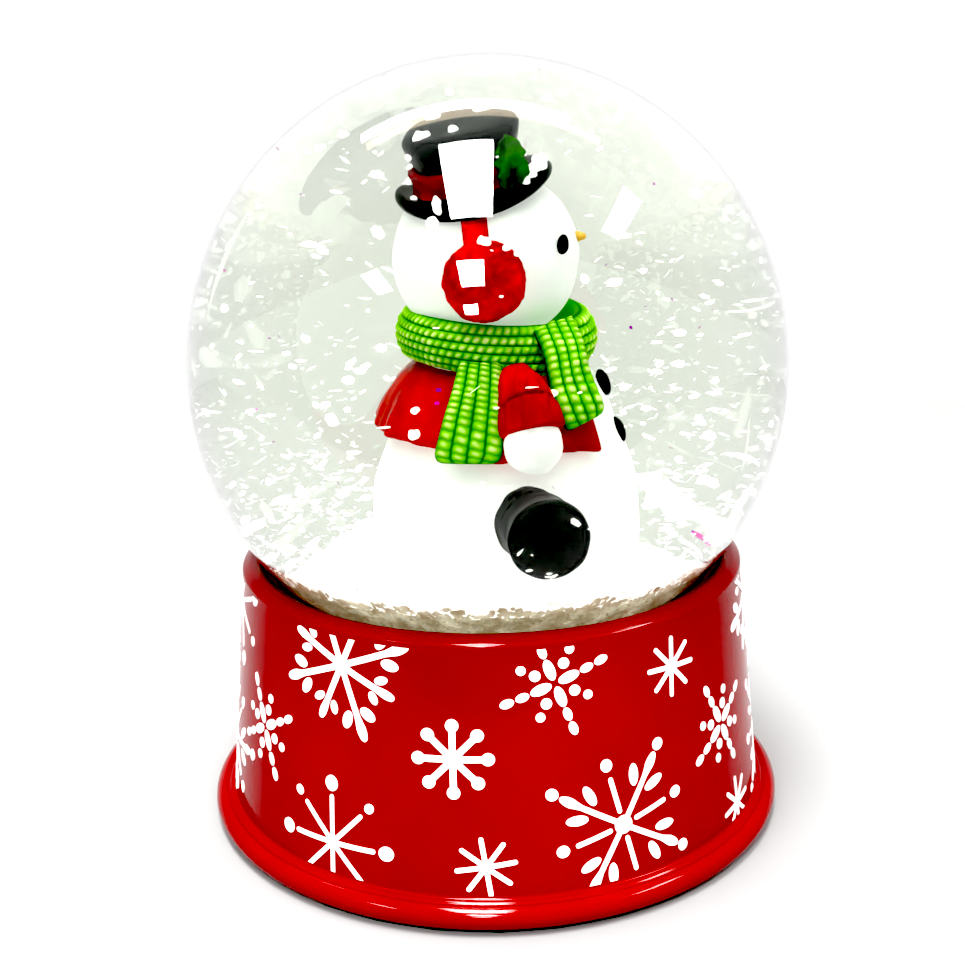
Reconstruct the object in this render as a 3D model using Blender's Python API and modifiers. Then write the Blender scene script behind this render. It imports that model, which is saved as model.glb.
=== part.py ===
"""A wind-up musical snow globe: a liquid-filled glass ball with a painted snowman on a tapered red base.

Lengths are written in millimetres, and MM turns them into Blender's metres where a mesh is made.
The origin is on the ground under the middle of the base, +Z is up, and the snowman looks towards +X.
"""

from math import asin, cos, pi, radians, sin, sqrt

import bmesh
import bpy
from mathutils import Matrix, Vector

MM = 0.001
GAP = 0.3
FACET_GAP = 0.9
STEPS = 32

# Globe: a glass ball on a neck, closed from below by a rubber stopper.
BALL_RADIUS = 50.0
BALL_HALF_HEIGHT = 51.0
BALL_Z = 77.8
GLASS_WALL = 1.8
NECK_RADIUS = 30.0
NECK_BOTTOM = 31.2
LIQUID_TOP = 125.0
STOPPER_TOP = 38.0

# Base: a tapered red shell on a rounded foot.
BASE_TOP = 44.3
BASE_TOP_RADIUS = 43.1
BASE_BOTTOM = 4.3
BASE_BOTTOM_RADIUS = 46.95
FOOT_RADIUS = 50.4
FOOT_BEAD = 1.95
FOOT_UNDERSIDE = 0.6
LIP_TOP = 45.9
FLOOR_UNDERSIDE = 27.0
FLOOR_TOP = 28.6
WALL = 2.7
COVER_RADIUS = 43.6
COVER_BOTTOM = 9.0
COVER_THICKNESS = 2.0
LEDGE_RADIUS = 39.5
COVER_SCREW_RADIUS = 41.6

# Snowman: every height is above the ground, in line with the ball.
BODY_X = 2.0
HEAD_X = 0.0
HEAD_Z = 92.0
HEAD_RADIUS = 11.8
HEAD_HALF_HEIGHT = 11.3
HAT_FOOT = (-1.4, 0.0, 100.1)
HAT_TILT = 11.0
BRIM_RADIUS = 10.5
CROWN_FOOT_RADIUS = 6.2
CROWN_TOP_RADIUS = 7.7
CROWN_HEIGHT = 9.9
STRAP_WIDTH = 3.4
MITTEN_RADIUS = 3.2

# Musical movement, with its winding arbor on the middle line of the base.
BEDPLATE_BOTTOM = 11.3
BEDPLATE_TOP = 13.0
MOVEMENT_SCREW_RADIUS = 16.0
CROWN_WHEEL_TEETH = 48
CROWN_PITCH_RADIUS = 12.0
CROWN_PITCH_Z = 15.0
PINION_TEETH = 18
TOOTH_REACH = 0.55
DRUM_Z = CROWN_PITCH_Z + CROWN_PITCH_RADIUS * PINION_TEETH / CROWN_WHEEL_TEETH
DRUM_RADIUS = 5.0
DRUM_START = 14.6
DRUM_END = 28.4
PIN_RISE = 0.55
NOTES = 18
SPUR_MODULE = 0.3
DRUM_GEAR_TEETH = 36
IDLER_TEETH = 12
SPUR_X = 32.4
SPUR_THICKNESS = 1.2
IDLER_Y = -SPUR_MODULE * (DRUM_GEAR_TEETH + IDLER_TEETH) / 2
WORM_WHEEL_TEETH = 20
WORM_MODULE = 0.4
WORM_RADIUS = 1.3
WORM_WHEEL_X = 34.6
WORM_Y = IDLER_Y - WORM_MODULE * WORM_WHEEL_TEETH / 2 - WORM_RADIUS
WORM_BOTTOM = 15.6
WORM_TOP = 23.0

PARTS = None
CUTTERS = None


def clear_scene():
    for obj in list(bpy.data.objects):
        bpy.data.objects.remove(obj, do_unlink=True)


def new_collection(name):
    collection = bpy.data.collections.new(name)
    bpy.context.scene.collection.children.link(collection)
    return collection


def material(name, colour, roughness, metallic=0.0, transmission=0.0):
    made = bpy.data.materials.get(name)
    if made:
        return made
    made = bpy.data.materials.new(name)
    made.use_nodes = True
    made.diffuse_color = (*colour, 1.0)
    shader = made.node_tree.nodes["Principled BSDF"]
    shader.inputs["Base Color"].default_value = (*colour, 1.0)
    shader.inputs["Roughness"].default_value = roughness
    shader.inputs["Metallic"].default_value = metallic
    shader.inputs["Transmission Weight"].default_value = transmission
    return made


def red_lacquer():
    return material("red_lacquer", (0.5, 0.0, 0.01), 0.12)


def clear_glass():
    return material("clear_glass", (0.95, 0.98, 1.0), 0.02, transmission=1.0)


def clear_liquid():
    return material("clear_liquid", (0.97, 0.99, 1.0), 0.0, transmission=1.0)


def black_rubber():
    return material("black_rubber", (0.03, 0.03, 0.03), 0.7)


def snow_white():
    return material("snow_white", (0.88, 0.89, 0.92), 0.6)


def painted_white():
    return material("painted_white", (0.86, 0.87, 0.9), 0.35)


def painted_black():
    return material("painted_black", (0.015, 0.012, 0.012), 0.3)


def painted_red():
    return material("painted_red", (0.45, 0.01, 0.015), 0.22)


def painted_green():
    return material("painted_green", (0.02, 0.22, 0.06), 0.35)


def painted_lime():
    return material("painted_lime", (0.25, 0.6, 0.05), 0.35)


def painted_orange():
    return material("painted_orange", (0.85, 0.3, 0.03), 0.35)


def steel():
    return material("steel", (0.62, 0.62, 0.63), 0.3, metallic=1.0)


def brass():
    return material("brass", (0.75, 0.55, 0.22), 0.3, metallic=1.0)


def zinc():
    return material("zinc", (0.52, 0.52, 0.54), 0.45, metallic=1.0)


def black_plastic():
    return material("black_plastic", (0.04, 0.04, 0.045), 0.5)


def white_nylon():
    return material("white_nylon", (0.8, 0.8, 0.76), 0.45)


def dark_felt():
    return material("dark_felt", (0.05, 0.09, 0.06), 0.95)


def add_object(name, mesh, look, at=(0, 0, 0), turn=None):
    """An object in the parts collection, or a hidden cutter when it has no material."""
    obj = bpy.data.objects.new(name, mesh)
    obj.location = Vector(at) * MM
    if turn is not None:
        obj.rotation_euler = turn
    if look is None:
        CUTTERS.objects.link(obj)
        obj.hide_render = True
        obj.display_type = "WIRE"
    else:
        mesh.materials.append(look)
        PARTS.objects.link(obj)
    return obj


def mesh_from(name, work, smooth_angle=40.0):
    bmesh.ops.recalc_face_normals(work, faces=work.faces)
    mesh = bpy.data.meshes.new(name)
    work.to_mesh(mesh)
    work.free()
    mesh.shade_smooth()
    mesh.set_sharp_from_angle(angle=radians(smooth_angle))
    return mesh


def turned(
    name, profile, look, steps=STEPS, at=(0, 0, 0), turn=None, closed=False, sweep=360.0
):
    """A body turned about its own Z from (radius, height) points, down the outside and up the inside."""
    mesh = bpy.data.meshes.new(name)
    points = [(r * MM, 0, z * MM) for r, z in profile]
    edges = [(i, i + 1) for i in range(len(points) - 1)]
    if closed:
        edges.append((len(points) - 1, 0))
    mesh.from_pydata(points, edges, [])
    obj = add_object(name, mesh, look, at, turn)
    screw = obj.modifiers.new("turn", "SCREW")
    screw.angle = radians(sweep)
    screw.steps = steps
    screw.render_steps = steps
    screw.use_merge_vertices = True
    screw.merge_threshold = 0.00001
    screw.use_smooth_shade = True
    return obj


def ellipsoid(name, radii, look, at=(0, 0, 0), turn=None, segments=24):
    work = bmesh.new()
    bmesh.ops.create_uvsphere(work, u_segments=segments, v_segments=segments // 2, radius=MM)
    bmesh.ops.scale(work, vec=radii, verts=work.verts)
    return add_object(name, mesh_from(name, work), look, at, turn)


def box(name, low, high, look, turn=None):
    """A box between two corners, turned about its own middle."""
    low = Vector(low)
    high = Vector(high)
    work = bmesh.new()
    bmesh.ops.create_cube(work, size=MM)
    bmesh.ops.scale(work, vec=high - low, verts=work.verts)
    return add_object(name, mesh_from(name, work), look, (low + high) / 2, turn)


def rod(name, radius, start, end, look, segments=20, end_radius=None):
    """A round rod, or a cone, from one point to another."""
    start = Vector(start)
    end = Vector(end)
    work = bmesh.new()
    bmesh.ops.create_cone(
        work,
        cap_ends=True,
        segments=segments,
        radius1=radius * MM,
        radius2=(radius if end_radius is None else end_radius) * MM,
        depth=(end - start).length * MM,
    )
    way = (end - start).to_track_quat("Z", "Y").to_euler()
    return add_object(name, mesh_from(name, work), look, (start + end) / 2, way)


def flat_outline(name, loops, thickness, look, at=(0, 0, 0), turn=None):
    """A plate cut to closed outlines in its own XY plane, the first outside and the rest holes.

    The curve is filled at one unit to the millimetre, where the fill is exact, and then made smaller.
    """
    curve = bpy.data.curves.new(name, "CURVE")
    curve.dimensions = "2D"
    curve.fill_mode = "BOTH"
    curve.extrude = thickness / 2
    for loop in loops:
        spline = curve.splines.new("POLY")
        spline.points.add(len(loop) - 1)
        for point, (x, y) in zip(spline.points, loop):
            point.co = (x, y, 0, 1)
        spline.use_cyclic_u = True
    outline = bpy.data.objects.new(name + "_outline", curve)
    CUTTERS.objects.link(outline)
    bpy.context.view_layer.update()
    graph = bpy.context.evaluated_depsgraph_get()
    filled = bpy.data.meshes.new_from_object(outline.evaluated_get(graph))
    bpy.data.objects.remove(outline, do_unlink=True)
    work = bmesh.new()
    work.from_mesh(filled)
    bmesh.ops.remove_doubles(work, verts=work.verts, dist=0.0001)
    bmesh.ops.scale(work, vec=(MM, MM, MM), verts=work.verts)
    return add_object(name, mesh_from(name, work), look, at, turn)


def boolean(target, tool, operation):
    step = target.modifiers.new(operation.lower(), "BOOLEAN")
    step.operation = operation
    step.object = tool
    step.solver = "EXACT"
    return target


def cut(target, *tools):
    for tool in tools:
        boolean(target, tool, "DIFFERENCE")
    return target


def join(target, *tools):
    for tool in tools:
        boolean(target, tool, "UNION")
    return target


def ball_arc(inset, z_from, z_to, count):
    """Points down the ball's wall, inset from its outer surface, between two heights."""
    radius = BALL_RADIUS - inset
    half_height = BALL_HALF_HEIGHT - inset
    start = asin(max(-1.0, min(1.0, (z_from - BALL_Z) / half_height)))
    end = asin(max(-1.0, min(1.0, (z_to - BALL_Z) / half_height)))
    angles = [start + (end - start) * i / count for i in range(count + 1)]
    return [(max(0.0, radius * cos(a)), BALL_Z + half_height * sin(a)) for a in angles]


def ball_height_at(radius, inset):
    """Height of the lower half of the ball's wall at a radius."""
    fraction = radius / (BALL_RADIUS - inset)
    return BALL_Z - (BALL_HALF_HEIGHT - inset) * sqrt(1 - fraction * fraction)


# --- Globe ---------------------------------------------------------------------------------------


def build_glass():
    neck_inner = NECK_RADIUS - GLASS_WALL
    top = BALL_Z + BALL_HALF_HEIGHT
    outer = ball_arc(0, top, BALL_Z, 7) + ball_arc(0, BALL_Z, ball_height_at(NECK_RADIUS, 0), 5)[1:]
    outer += [(NECK_RADIUS, NECK_BOTTOM + 1.6), (NECK_RADIUS + 1, NECK_BOTTOM)]
    inner = ball_arc(GLASS_WALL, top - GLASS_WALL, BALL_Z, 6)
    inner += ball_arc(GLASS_WALL, BALL_Z, ball_height_at(neck_inner, GLASS_WALL), 5)[1:]
    inner += [(neck_inner, NECK_BOTTOM)]
    turned("glass_globe", outer + inner[::-1], clear_glass())


def build_stopper():
    plug = NECK_RADIUS - GLASS_WALL - GAP
    flange = NECK_RADIUS + 1.2
    profile = [
        (0, STOPPER_TOP),
        (plug - 1, STOPPER_TOP),
        (plug, STOPPER_TOP - 1),
        (plug, NECK_BOTTOM - GAP),
        (flange, NECK_BOTTOM - GAP),
        (flange, FLOOR_TOP + GAP),
        (0, FLOOR_TOP + GAP),
    ]
    turned("rubber_stopper", profile, black_rubber())


def build_liquid():
    """The clear filling, open underneath around the figure and level under the trapped air."""
    wall = ball_arc(GLASS_WALL + FACET_GAP, LIQUID_TOP, 48.0, 9)
    round_boots = [(27.8, 49.2), (27.8, 71.6)]
    round_arms = [(24.2, 73), (24.2, 83)]
    round_head = [(17.5, 84), (17.5, 98)]
    round_hat = [(14.5, 99), (14.5, 114), (0, 114.4)]
    inside = round_boots + round_arms + round_head + round_hat
    turned("liquid_fill", [(0, LIQUID_TOP)] + wall + inside, clear_liquid())


def build_loose_snow():
    wall = ball_arc(GLASS_WALL + FACET_GAP, 47.0, STOPPER_TOP + 1, 4)
    profile = [(27.6, 48.6)] + wall + [(27.6, STOPPER_TOP + 1)]
    turned("loose_snow", profile, snow_white(), closed=True)


def build_mound():
    profile = [
        (0, 46.7),
        (18.3, 46.7),
        (18.3, 52.2),
        (19.6, 52.3),
        (23, 50),
        (27.3, 45),
        (27.3, STOPPER_TOP + GAP),
        (0, STOPPER_TOP + GAP),
    ]
    turned("snow_mound", profile, snow_white())


# --- Snowman -------------------------------------------------------------------------------------


def build_body():
    profile = [
        (0, 78.5),
        (9.4, 78.5),
        (12.4, 75),
        (13.8, 70.5),
        (14.3, 67.2),
        (15.9, 66.2),
        (16.7, 61),
        (16.3, 55),
        (15.3, 50),
        (14.6, 47.1),
        (0, 47.1),
    ]
    turned("snowman_body", profile, painted_white(), steps=28, at=(BODY_X, 0, 0))


def hat_turn():
    return (0, -radians(HAT_TILT), 0)


def hat_point(across, up):
    """A point of the hat's middle plane, across its brim and up its axis."""
    tilt = Matrix.Rotation(-radians(HAT_TILT), 3, "Y")
    return Vector(HAT_FOOT) + tilt @ Vector((across, 0, up))


def build_head():
    radii = (HEAD_RADIUS, HEAD_RADIUS, HEAD_HALF_HEIGHT)
    head = ellipsoid("snowman_head", radii, painted_white(), (HEAD_X, 0, HEAD_Z), segments=22)
    above = box("head_cut_by_hat", (-20, -20, 0), (20, 20, 20), None)
    above.matrix_world = Matrix.Translation(hat_point(0, 10 - GAP) * MM) @ Matrix.Rotation(
        -radians(HAT_TILT), 4, "Y"
    )
    below = box("head_cut_by_neck", (-20, -20, 70), (20, 20, 82.4), None)
    cut(head, above, below)


def build_face():
    root = (HEAD_RADIUS + 0.2, 0, 93.9)
    tip = (HEAD_RADIUS + 2.4, 0, 94.1)
    rod("carrot_nose", 1.1, root, tip, painted_orange(), end_radius=0.35, segments=12)
    for side, name in ((1, "eye_left"), (-1, "eye_right")):
        way = radians(31.0 * side)
        out = HEAD_RADIUS + 0.7
        spot = (out * cos(way), out * sin(way), 95.0)
        ellipsoid(name, (0.4, 0.75, 1.2), painted_black(), spot, (0, 0, way), segments=8)


def build_hat():
    profile = [
        (0, CROWN_HEIGHT),
        (CROWN_TOP_RADIUS - 0.8, CROWN_HEIGHT),
        (CROWN_TOP_RADIUS, CROWN_HEIGHT - 0.6),
        (CROWN_FOOT_RADIUS, 1.2),
        (BRIM_RADIUS - 0.6, 1.4),
        (BRIM_RADIUS, 0.9),
        (BRIM_RADIUS - 0.6, 0),
        (0, 0),
    ]
    turned("top_hat", profile, painted_black(), steps=24, at=HAT_FOOT, turn=hat_turn())


def crown_radius(height):
    rise = (height - 1.2) / (CROWN_HEIGHT - 1.8)
    return CROWN_FOOT_RADIUS + (CROWN_TOP_RADIUS - CROWN_FOOT_RADIUS) * rise


def build_hatband():
    low = 1.6
    high = 4.8
    profile = [
        (crown_radius(high) + GAP + 0.6, high),
        (crown_radius(low) + GAP + 0.6, low),
        (crown_radius(low) + GAP, low),
        (crown_radius(high) + GAP, high),
    ]
    turned("hatband", profile, painted_red(), steps=24, at=HAT_FOOT, turn=hat_turn(), closed=True)


def build_leaf_bow():
    """Two leaves and a knot against the front of the crown."""
    middle = hat_point(0, 6.6) + Vector((6.6, -6.1, 0))
    look = painted_green()
    turn = (0, 0, radians(-45))
    bow = ellipsoid("hat_leaf_bow", (0.75, 1.3, 1.3), look, middle, turn, segments=8)
    along = Vector((0.7, 0.7, 0))
    for side in (1, -1):
        at = middle + along * (2.2 * side) + Vector((0, 0, 0.8))
        leaf = ellipsoid(f"leaf_{side}", (0.6, 2.2, 1.4), None, at, turn, segments=8)
        join(bow, leaf)


def build_earmuffs():
    profile = [(0, 3.6), (2.6, 3.3), (4.6, 2.1), (5.4, 0.6), (5.0, 0), (0, 0)]
    for side, word in ((1, "left"), (-1, "right")):
        start = side * (HEAD_RADIUS + 0.4)
        turn = (radians(-90 * side), 0, 0)
        turned(f"earmuff_{word}", profile, painted_red(), 20, (HEAD_X, start, 91.3), turn)
        outline = []
        for radius in (HEAD_RADIUS + 0.5, HEAD_RADIUS + 1.5):
            arc = [radians(a) for a in (28, 31, 34, 37, 40)]
            row = [(radius * cos(a) * side, radius * 0.96 * sin(a)) for a in arc]
            outline += row if radius < HEAD_RADIUS + 1 else row[::-1]
        strap = (radians(90), 0, radians(90))
        at = (HEAD_X, 0, HEAD_Z - 0.6)
        flat_outline(f"earmuff_strap_{word}", [outline], STRAP_WIDTH, painted_red(), at, strap)


def upright(way):
    """The turn that stands an outline up, its X pointing outwards at an angle round the middle."""
    return (Matrix.Rotation(radians(way), 3, "Z") @ Matrix.Rotation(radians(90), 3, "X")).to_euler()


def build_scarf():
    look = painted_lime()
    outer = [(11.3, 85.3), (12.2, 84.4), (12.6, 82), (12.4, 79.8), (11.6, 78.8)]
    inner = [(8.7, 78.8), (8.7, 82)]
    turned("scarf_wrap", outer + inner, look, steps=26, at=(1, 0, 0), closed=True)
    hang = [(13.7, 79.7), (15.4, 75), (17.4, 68.5), (16.2, 68.3), (14.3, 74.8), (12.9, 78.2)]
    tails = (
        ("scarf_front_tail", -100.0, 7.5, 0.0, 0.0),
        ("scarf_knot_tail", -46.0, 5.5, 0.9, 1.6),
    )
    for name, way, width, out, lift in tails:
        outline = [(r + out, z + lift) for r, z in hang]
        flat_outline(name, [outline], width, look, (1, 0, 0), upright(way))


def build_cape():
    """A short cape round the shoulders, open at the front where the buttons show."""
    profile = [
        (10.9, 78.4),
        (13.6, 75.2),
        (15.1, 71.6),
        (15.7, 69.0),
        (14.7, 68.9),
        (14.1, 71.5),
        (12.8, 74.9),
        (10.2, 77.9),
    ]
    look = painted_red()
    cape = turned("red_cape", profile, look, steps=30, at=(BODY_X, 0, 0), closed=True)
    wedge = [(0, 0), (30, -25), (30, 25)]
    front = flat_outline("cape_opening", [wedge], 40, None, (BODY_X, 0, 72))
    cut(cape, front)


def build_arms_and_boots():
    for side, word in ((1, "left"), (-1, "right")):
        shoulder = (5.0, 15.6 * side, 78.6)
        wrist = (5.7, 19.3 * side, 74.9)
        hand = (5.9, 20.2 * side, 71.0)
        rod(f"sleeve_{word}", 2.4, shoulder, wrist, painted_red(), end_radius=2.9)
        ellipsoid(f"mitten_{word}", (MITTEN_RADIUS,) * 3, painted_white(), hand, segments=12)
        profile = [(0, 6.3), (4.4, 6.3), (5.2, 5.6), (5.0, 2.6), (4.4, 1.8), (4.0, 0), (0, 0)]
        turn = (radians(-90 * side), 0, 0)
        at = (7.8, 17.2 * side, 58.7)
        turned(f"boot_{word}", profile, painted_black(), 20, at, turn)


def build_buttons():
    for name, radius, z in (("button_upper", 12.75, 75.4), ("button_lower", 14.35, 69.4)):
        at = (BODY_X + radius + 0.7, 0, z)
        ellipsoid(name, (0.7, 1.5, 1.5), painted_black(), at, segments=10)


# --- Base ----------------------------------------------------------------------------------------


def base_taper(z):
    slope = (BASE_BOTTOM_RADIUS - BASE_TOP_RADIUS) / (BASE_TOP - BASE_BOTTOM)
    return BASE_TOP_RADIUS + (BASE_TOP - z) * slope


def build_base():
    bead_middle = FOOT_RADIUS - FOOT_BEAD
    bead_height = FOOT_UNDERSIDE + FOOT_BEAD
    turns = [radians(a) for a in (90, 60, 30, 0, -30, -60, -80)]
    bead = [(bead_middle + FOOT_BEAD * cos(a), bead_height + FOOT_BEAD * sin(a)) for a in turns]
    lip = [(39.3, 45.2), (40.0, LIP_TOP - 0.1), (40.9, LIP_TOP), (42.2, 45.4)]
    lip.append((BASE_TOP_RADIUS, BASE_TOP))
    outer = lip + [(BASE_BOTTOM_RADIUS, BASE_BOTTOM)] + bead
    recess = [(44.4, FOOT_UNDERSIDE), (44.0, COVER_BOTTOM + COVER_THICKNESS + GAP)]
    ledge = [(LEDGE_RADIUS, COVER_BOTTOM + COVER_THICKNESS + GAP), (LEDGE_RADIUS, 17.0)]
    inside = [(base_taper(19) - WALL, 19.0), (base_taper(FLOOR_UNDERSIDE) - WALL, FLOOR_UNDERSIDE)]
    socket = NECK_RADIUS + 1.8
    seat = [(0, FLOOR_TOP), (socket, FLOOR_TOP)] + ball_arc(-GAP, ball_height_at(socket, -GAP), 45.0, 5)
    profile = seat + outer + recess + ledge + inside + [(0, FLOOR_UNDERSIDE)]
    base = turned("base_shell", profile, red_lacquer())
    for x, y in screw_places(3, COVER_SCREW_RADIUS):
        hole = rod(f"base_hole_{x:.0f}", 1.0, (x, y, 10), (x, y, 15.5), None, segments=12)
        cut(base, hole)


def screw_places(count, radius, start=90.0):
    ways = [radians(start + 360 * i / count) for i in range(count)]
    return [(radius * cos(a), radius * sin(a)) for a in ways]


def build_felt():
    profile = [(48.6, 0.5), (48.8, 0.0), (45.0, 0.0), (45.2, 0.5)]
    low = [(r, z * (FOOT_UNDERSIDE - GAP + 0.2) / 0.5) for r, z in profile]
    turned("felt_ring", low, dark_felt(), closed=True)


def build_cover():
    top = COVER_BOTTOM + COVER_THICKNESS
    profile = [(COVER_RADIUS, top), (COVER_RADIUS, COVER_BOTTOM), (3.2, COVER_BOTTOM), (3.2, top)]
    cover = turned("bottom_cover", profile, black_plastic(), closed=True)
    places = screw_places(3, COVER_SCREW_RADIUS) + screw_places(3, MOVEMENT_SCREW_RADIUS, 30.0)
    for i, (x, y) in enumerate(places):
        cut(cover, rod(f"cover_hole_{i}", 1.05, (x, y, 8), (x, y, 12), None, segments=12))
    for i, (x, y) in enumerate(places):
        name = f"cover_screw_{i + 1}" if i < 3 else f"movement_screw_{i - 2}"
        reach = 14.5 if i < 3 else 13.8
        screw_at(name, (x, y, COVER_BOTTOM - GAP), reach, 2.0, 0.75)


def screw_at(name, head_top, reach, head_radius, shank_radius):
    """A dome-headed screw driven upwards, from under its head to the height it reaches."""
    x, y, z = head_top
    length = reach - z
    profile = [
        (0, length),
        (shank_radius * 0.6, length),
        (shank_radius, length - 0.6),
        (shank_radius, 0),
        (head_radius, 0),
        (head_radius * 0.8, -0.8),
        (0, -1.1),
    ]
    turned(name, profile, steel(), steps=14, at=(x, y, z))


# --- Movement ------------------------------------------------------------------------------------


def circle(radius, middle=(0, 0), sides=12):
    """The outline of a round hole."""
    ways = [2 * pi * i / sides for i in range(sides)]
    return [(middle[0] + radius * cos(a), middle[1] + radius * sin(a)) for a in ways]


def gear_loop(teeth, pitch_radius, reach, tooth_share=0.36, phase=0.0):
    """The outline of a gear with straight-flanked teeth that narrow towards their tips."""
    pitch = 2 * pi / teeth
    points = []
    for i in range(teeth):
        middle = phase + i * pitch
        for radius, share in ((pitch_radius - reach * 1.3, -0.6), (pitch_radius + reach, -0.36)):
            points.append((radius, middle + pitch * tooth_share * share))
        for radius, share in ((pitch_radius + reach, 0.36), (pitch_radius - reach * 1.3, 0.6)):
            points.append((radius, middle + pitch * tooth_share * share))
    return [(r * cos(a), r * sin(a)) for r, a in points]


def build_bedplate():
    outline = [(-17, -13), (-17, 13), (-10, 20), (28, 21), (36, 12), (36, -14), (28, -21), (-10, -20)]
    middle = (BEDPLATE_BOTTOM + BEDPLATE_TOP) / 2
    places = screw_places(3, MOVEMENT_SCREW_RADIUS, 30.0)
    loops = [outline, circle(2.0, sides=20)] + [circle(1.05, place) for place in places]
    thickness = BEDPLATE_TOP - BEDPLATE_BOTTOM
    flat_outline("movement_bedplate", loops, thickness, zinc(), (0, 0, middle))


def build_winding():
    profile = [(0, 25.4), (1.2, 25.4), (1.5, 25), (1.5, 13.4), (1.3, 12), (1.3, 5.4), (0, 5.4)]
    turned("winding_arbor", profile, steel(), steps=20)
    collar = [(0, 5.1), (1.6, 5.1), (1.6, 8.4), (3.0, 8.4), (3.0, 4.4), (0, 4.4)]
    key = turned("winding_key", collar, brass(), steps=24)
    top = [(0, 6.6), (5, 6.9), (8.5, 6.2), (9.4, 4.2)]
    wing = top + [(8.4, 2.2), (5.5, 1.4), (3.4, 2.0), (1.6, 3.4), (0, 3.8)]
    wings = wing + [(-x, z) for x, z in wing[-2:0:-1]]
    blade = flat_outline("key_wings", [wings], 1.6, None, (0, 0, 0), (radians(90), 0, 0))
    bore = rod("key_bore", 1.6, (0, 0, 5.1), (0, 0, 9), None)
    join(key, blade)
    cut(key, bore)


def build_great_wheel():
    """The crown wheel on the arbor, whose upright teeth drive the drum's pinion."""
    rim = CROWN_PITCH_RADIUS + 0.8
    disc_top = CROWN_PITCH_Z - TOOTH_REACH - 0.25
    profile = [(rim, disc_top), (rim, 13.4), (1.8, 13.4), (1.8, disc_top)]
    wheel = turned("great_wheel", profile, brass(), closed=True)
    work = bmesh.new()
    for i in range(CROWN_WHEEL_TEETH):
        way = Matrix.Rotation(2 * pi * (i + 0.5) / CROWN_WHEEL_TEETH, 4, "Z")
        place = Matrix.Translation(Vector((CROWN_PITCH_RADIUS, 0, CROWN_PITCH_Z - 0.2)) * MM)
        size = Matrix.Diagonal((1.3 * MM, 0.5 * MM, (2 * TOOTH_REACH + 0.4) * MM, 1))
        bmesh.ops.create_cube(work, size=1, matrix=way @ place @ size)
    teeth = add_object("crown_teeth", mesh_from("crown_teeth", work), None)
    join(wheel, teeth)


def build_spring():
    turns = 4
    per_turn = 14
    inner = 2.6
    pitch = 1.7
    strip = 0.4
    count = turns * per_turn
    inside = []
    outside = []
    for i in range(count + 1):
        way = 2 * pi * i / per_turn
        radius = inner + pitch * i / per_turn
        inside.append((radius * cos(way), radius * sin(way)))
        outside.append(((radius + strip) * cos(way), (radius + strip) * sin(way)))
    flat_outline("mainspring", [outside + inside[::-1]], 6.0, steel(), (0, 0, 20.2))


def build_housing():
    profile = [(0, 26.2), (10.4, 26.2), (11, 25.6), (11, 16.4), (10.2, 16.4), (10.2, 25.8), (0, 25.8)]
    housing = turned("spring_housing", profile, zinc())
    foot = [(10.6, 16.7), (13.5, 16.7), (13.5, 13.3), (17.2, 13.3), (17.2, 17.4), (10.6, 17.4)]
    for i, way in enumerate((115.0, 245.0)):
        join(housing, flat_outline(f"housing_foot_{i}", [foot], 5, None, (0, 0, 0), upright(way)))
        x, y = (15.3 * cos(radians(way)), 15.3 * sin(radians(way)))
        cut(housing, rod(f"foot_hole_{i}", 1.05, (x, y, 12.4), (x, y, 18), None, segments=12))
        profile = [(0, 1.1), (1.4, 0.8), (1.7, 0), (0.75, 0), (0.75, -3.9), (0, -3.9)]
        turned(f"housing_screw_{i + 1}", profile, steel(), steps=14, at=(x, y, 17.4 + GAP))


def build_drum():
    """The pinned drum, along X, with the crown pinion at its inner end and a spur gear outside."""
    along = (0, radians(90), 0)
    rounds = [(0, DRUM_END), (DRUM_RADIUS, DRUM_END), (DRUM_RADIUS, DRUM_START)]
    rounds.append((0, DRUM_START))
    drum = turned("pinned_drum", rounds, brass(), at=(0, 0, DRUM_Z), turn=along, steps=24)
    join(drum, rod("drum_shaft", 0.9, (10.9 + 0.6, 0, DRUM_Z), (36.4, 0, DRUM_Z), None, segments=16))
    work = bmesh.new()
    spacing = (DRUM_END - DRUM_START - 1.0) / NOTES
    for note in range(NOTES):
        for beat in range(2):
            way = 2 * pi * ((note * 7 + beat * 16) % 31) / 31
            spin = Matrix.Rotation(way, 4, "X")
            x = DRUM_START + 0.5 + spacing * (note + 0.5)
            place = Matrix.Translation(Vector((x, 0, DRUM_RADIUS + PIN_RISE / 2 - 0.15)) * MM)
            size = Matrix.Diagonal((0.3 * MM, 0.3 * MM, (PIN_RISE + 0.3) * MM, 1))
            lift = Matrix.Translation((0, 0, DRUM_Z * MM))
            bmesh.ops.create_cube(work, size=1, matrix=lift @ spin @ place @ size)
    pins = add_object("drum_pins", mesh_from("drum_pins", work), None)
    join(drum, pins)
    pinion = gear_loop(PINION_TEETH, DRUM_Z - CROWN_PITCH_Z, TOOTH_REACH)
    hole = circle(1.2)
    flat_outline("drum_pinion", [pinion, hole], 1.2, brass(), (CROWN_PITCH_RADIUS, 0, DRUM_Z), along)
    gear = gear_loop(DRUM_GEAR_TEETH, SPUR_MODULE * DRUM_GEAR_TEETH / 2, SPUR_MODULE, phase=pi / 2)
    flat_outline("drum_gear", [gear, hole], SPUR_THICKNESS, brass(), (SPUR_X, 0, DRUM_Z), along)


def build_bearings():
    for name, low_x in (("drum_bearing_inner", 13.0), ("drum_bearing_outer", 33.6)):
        top = (low_x + 0.9, 2.2, DRUM_Z + 2.4)
        post = box(name, (low_x, -2.2, BEDPLATE_TOP + GAP), top, zinc())
        ends = ((low_x - 1, 0, DRUM_Z), (low_x + 2, 0, DRUM_Z))
        cut(post, rod(name + "_bore", 1.1, *ends, None, segments=16))


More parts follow.
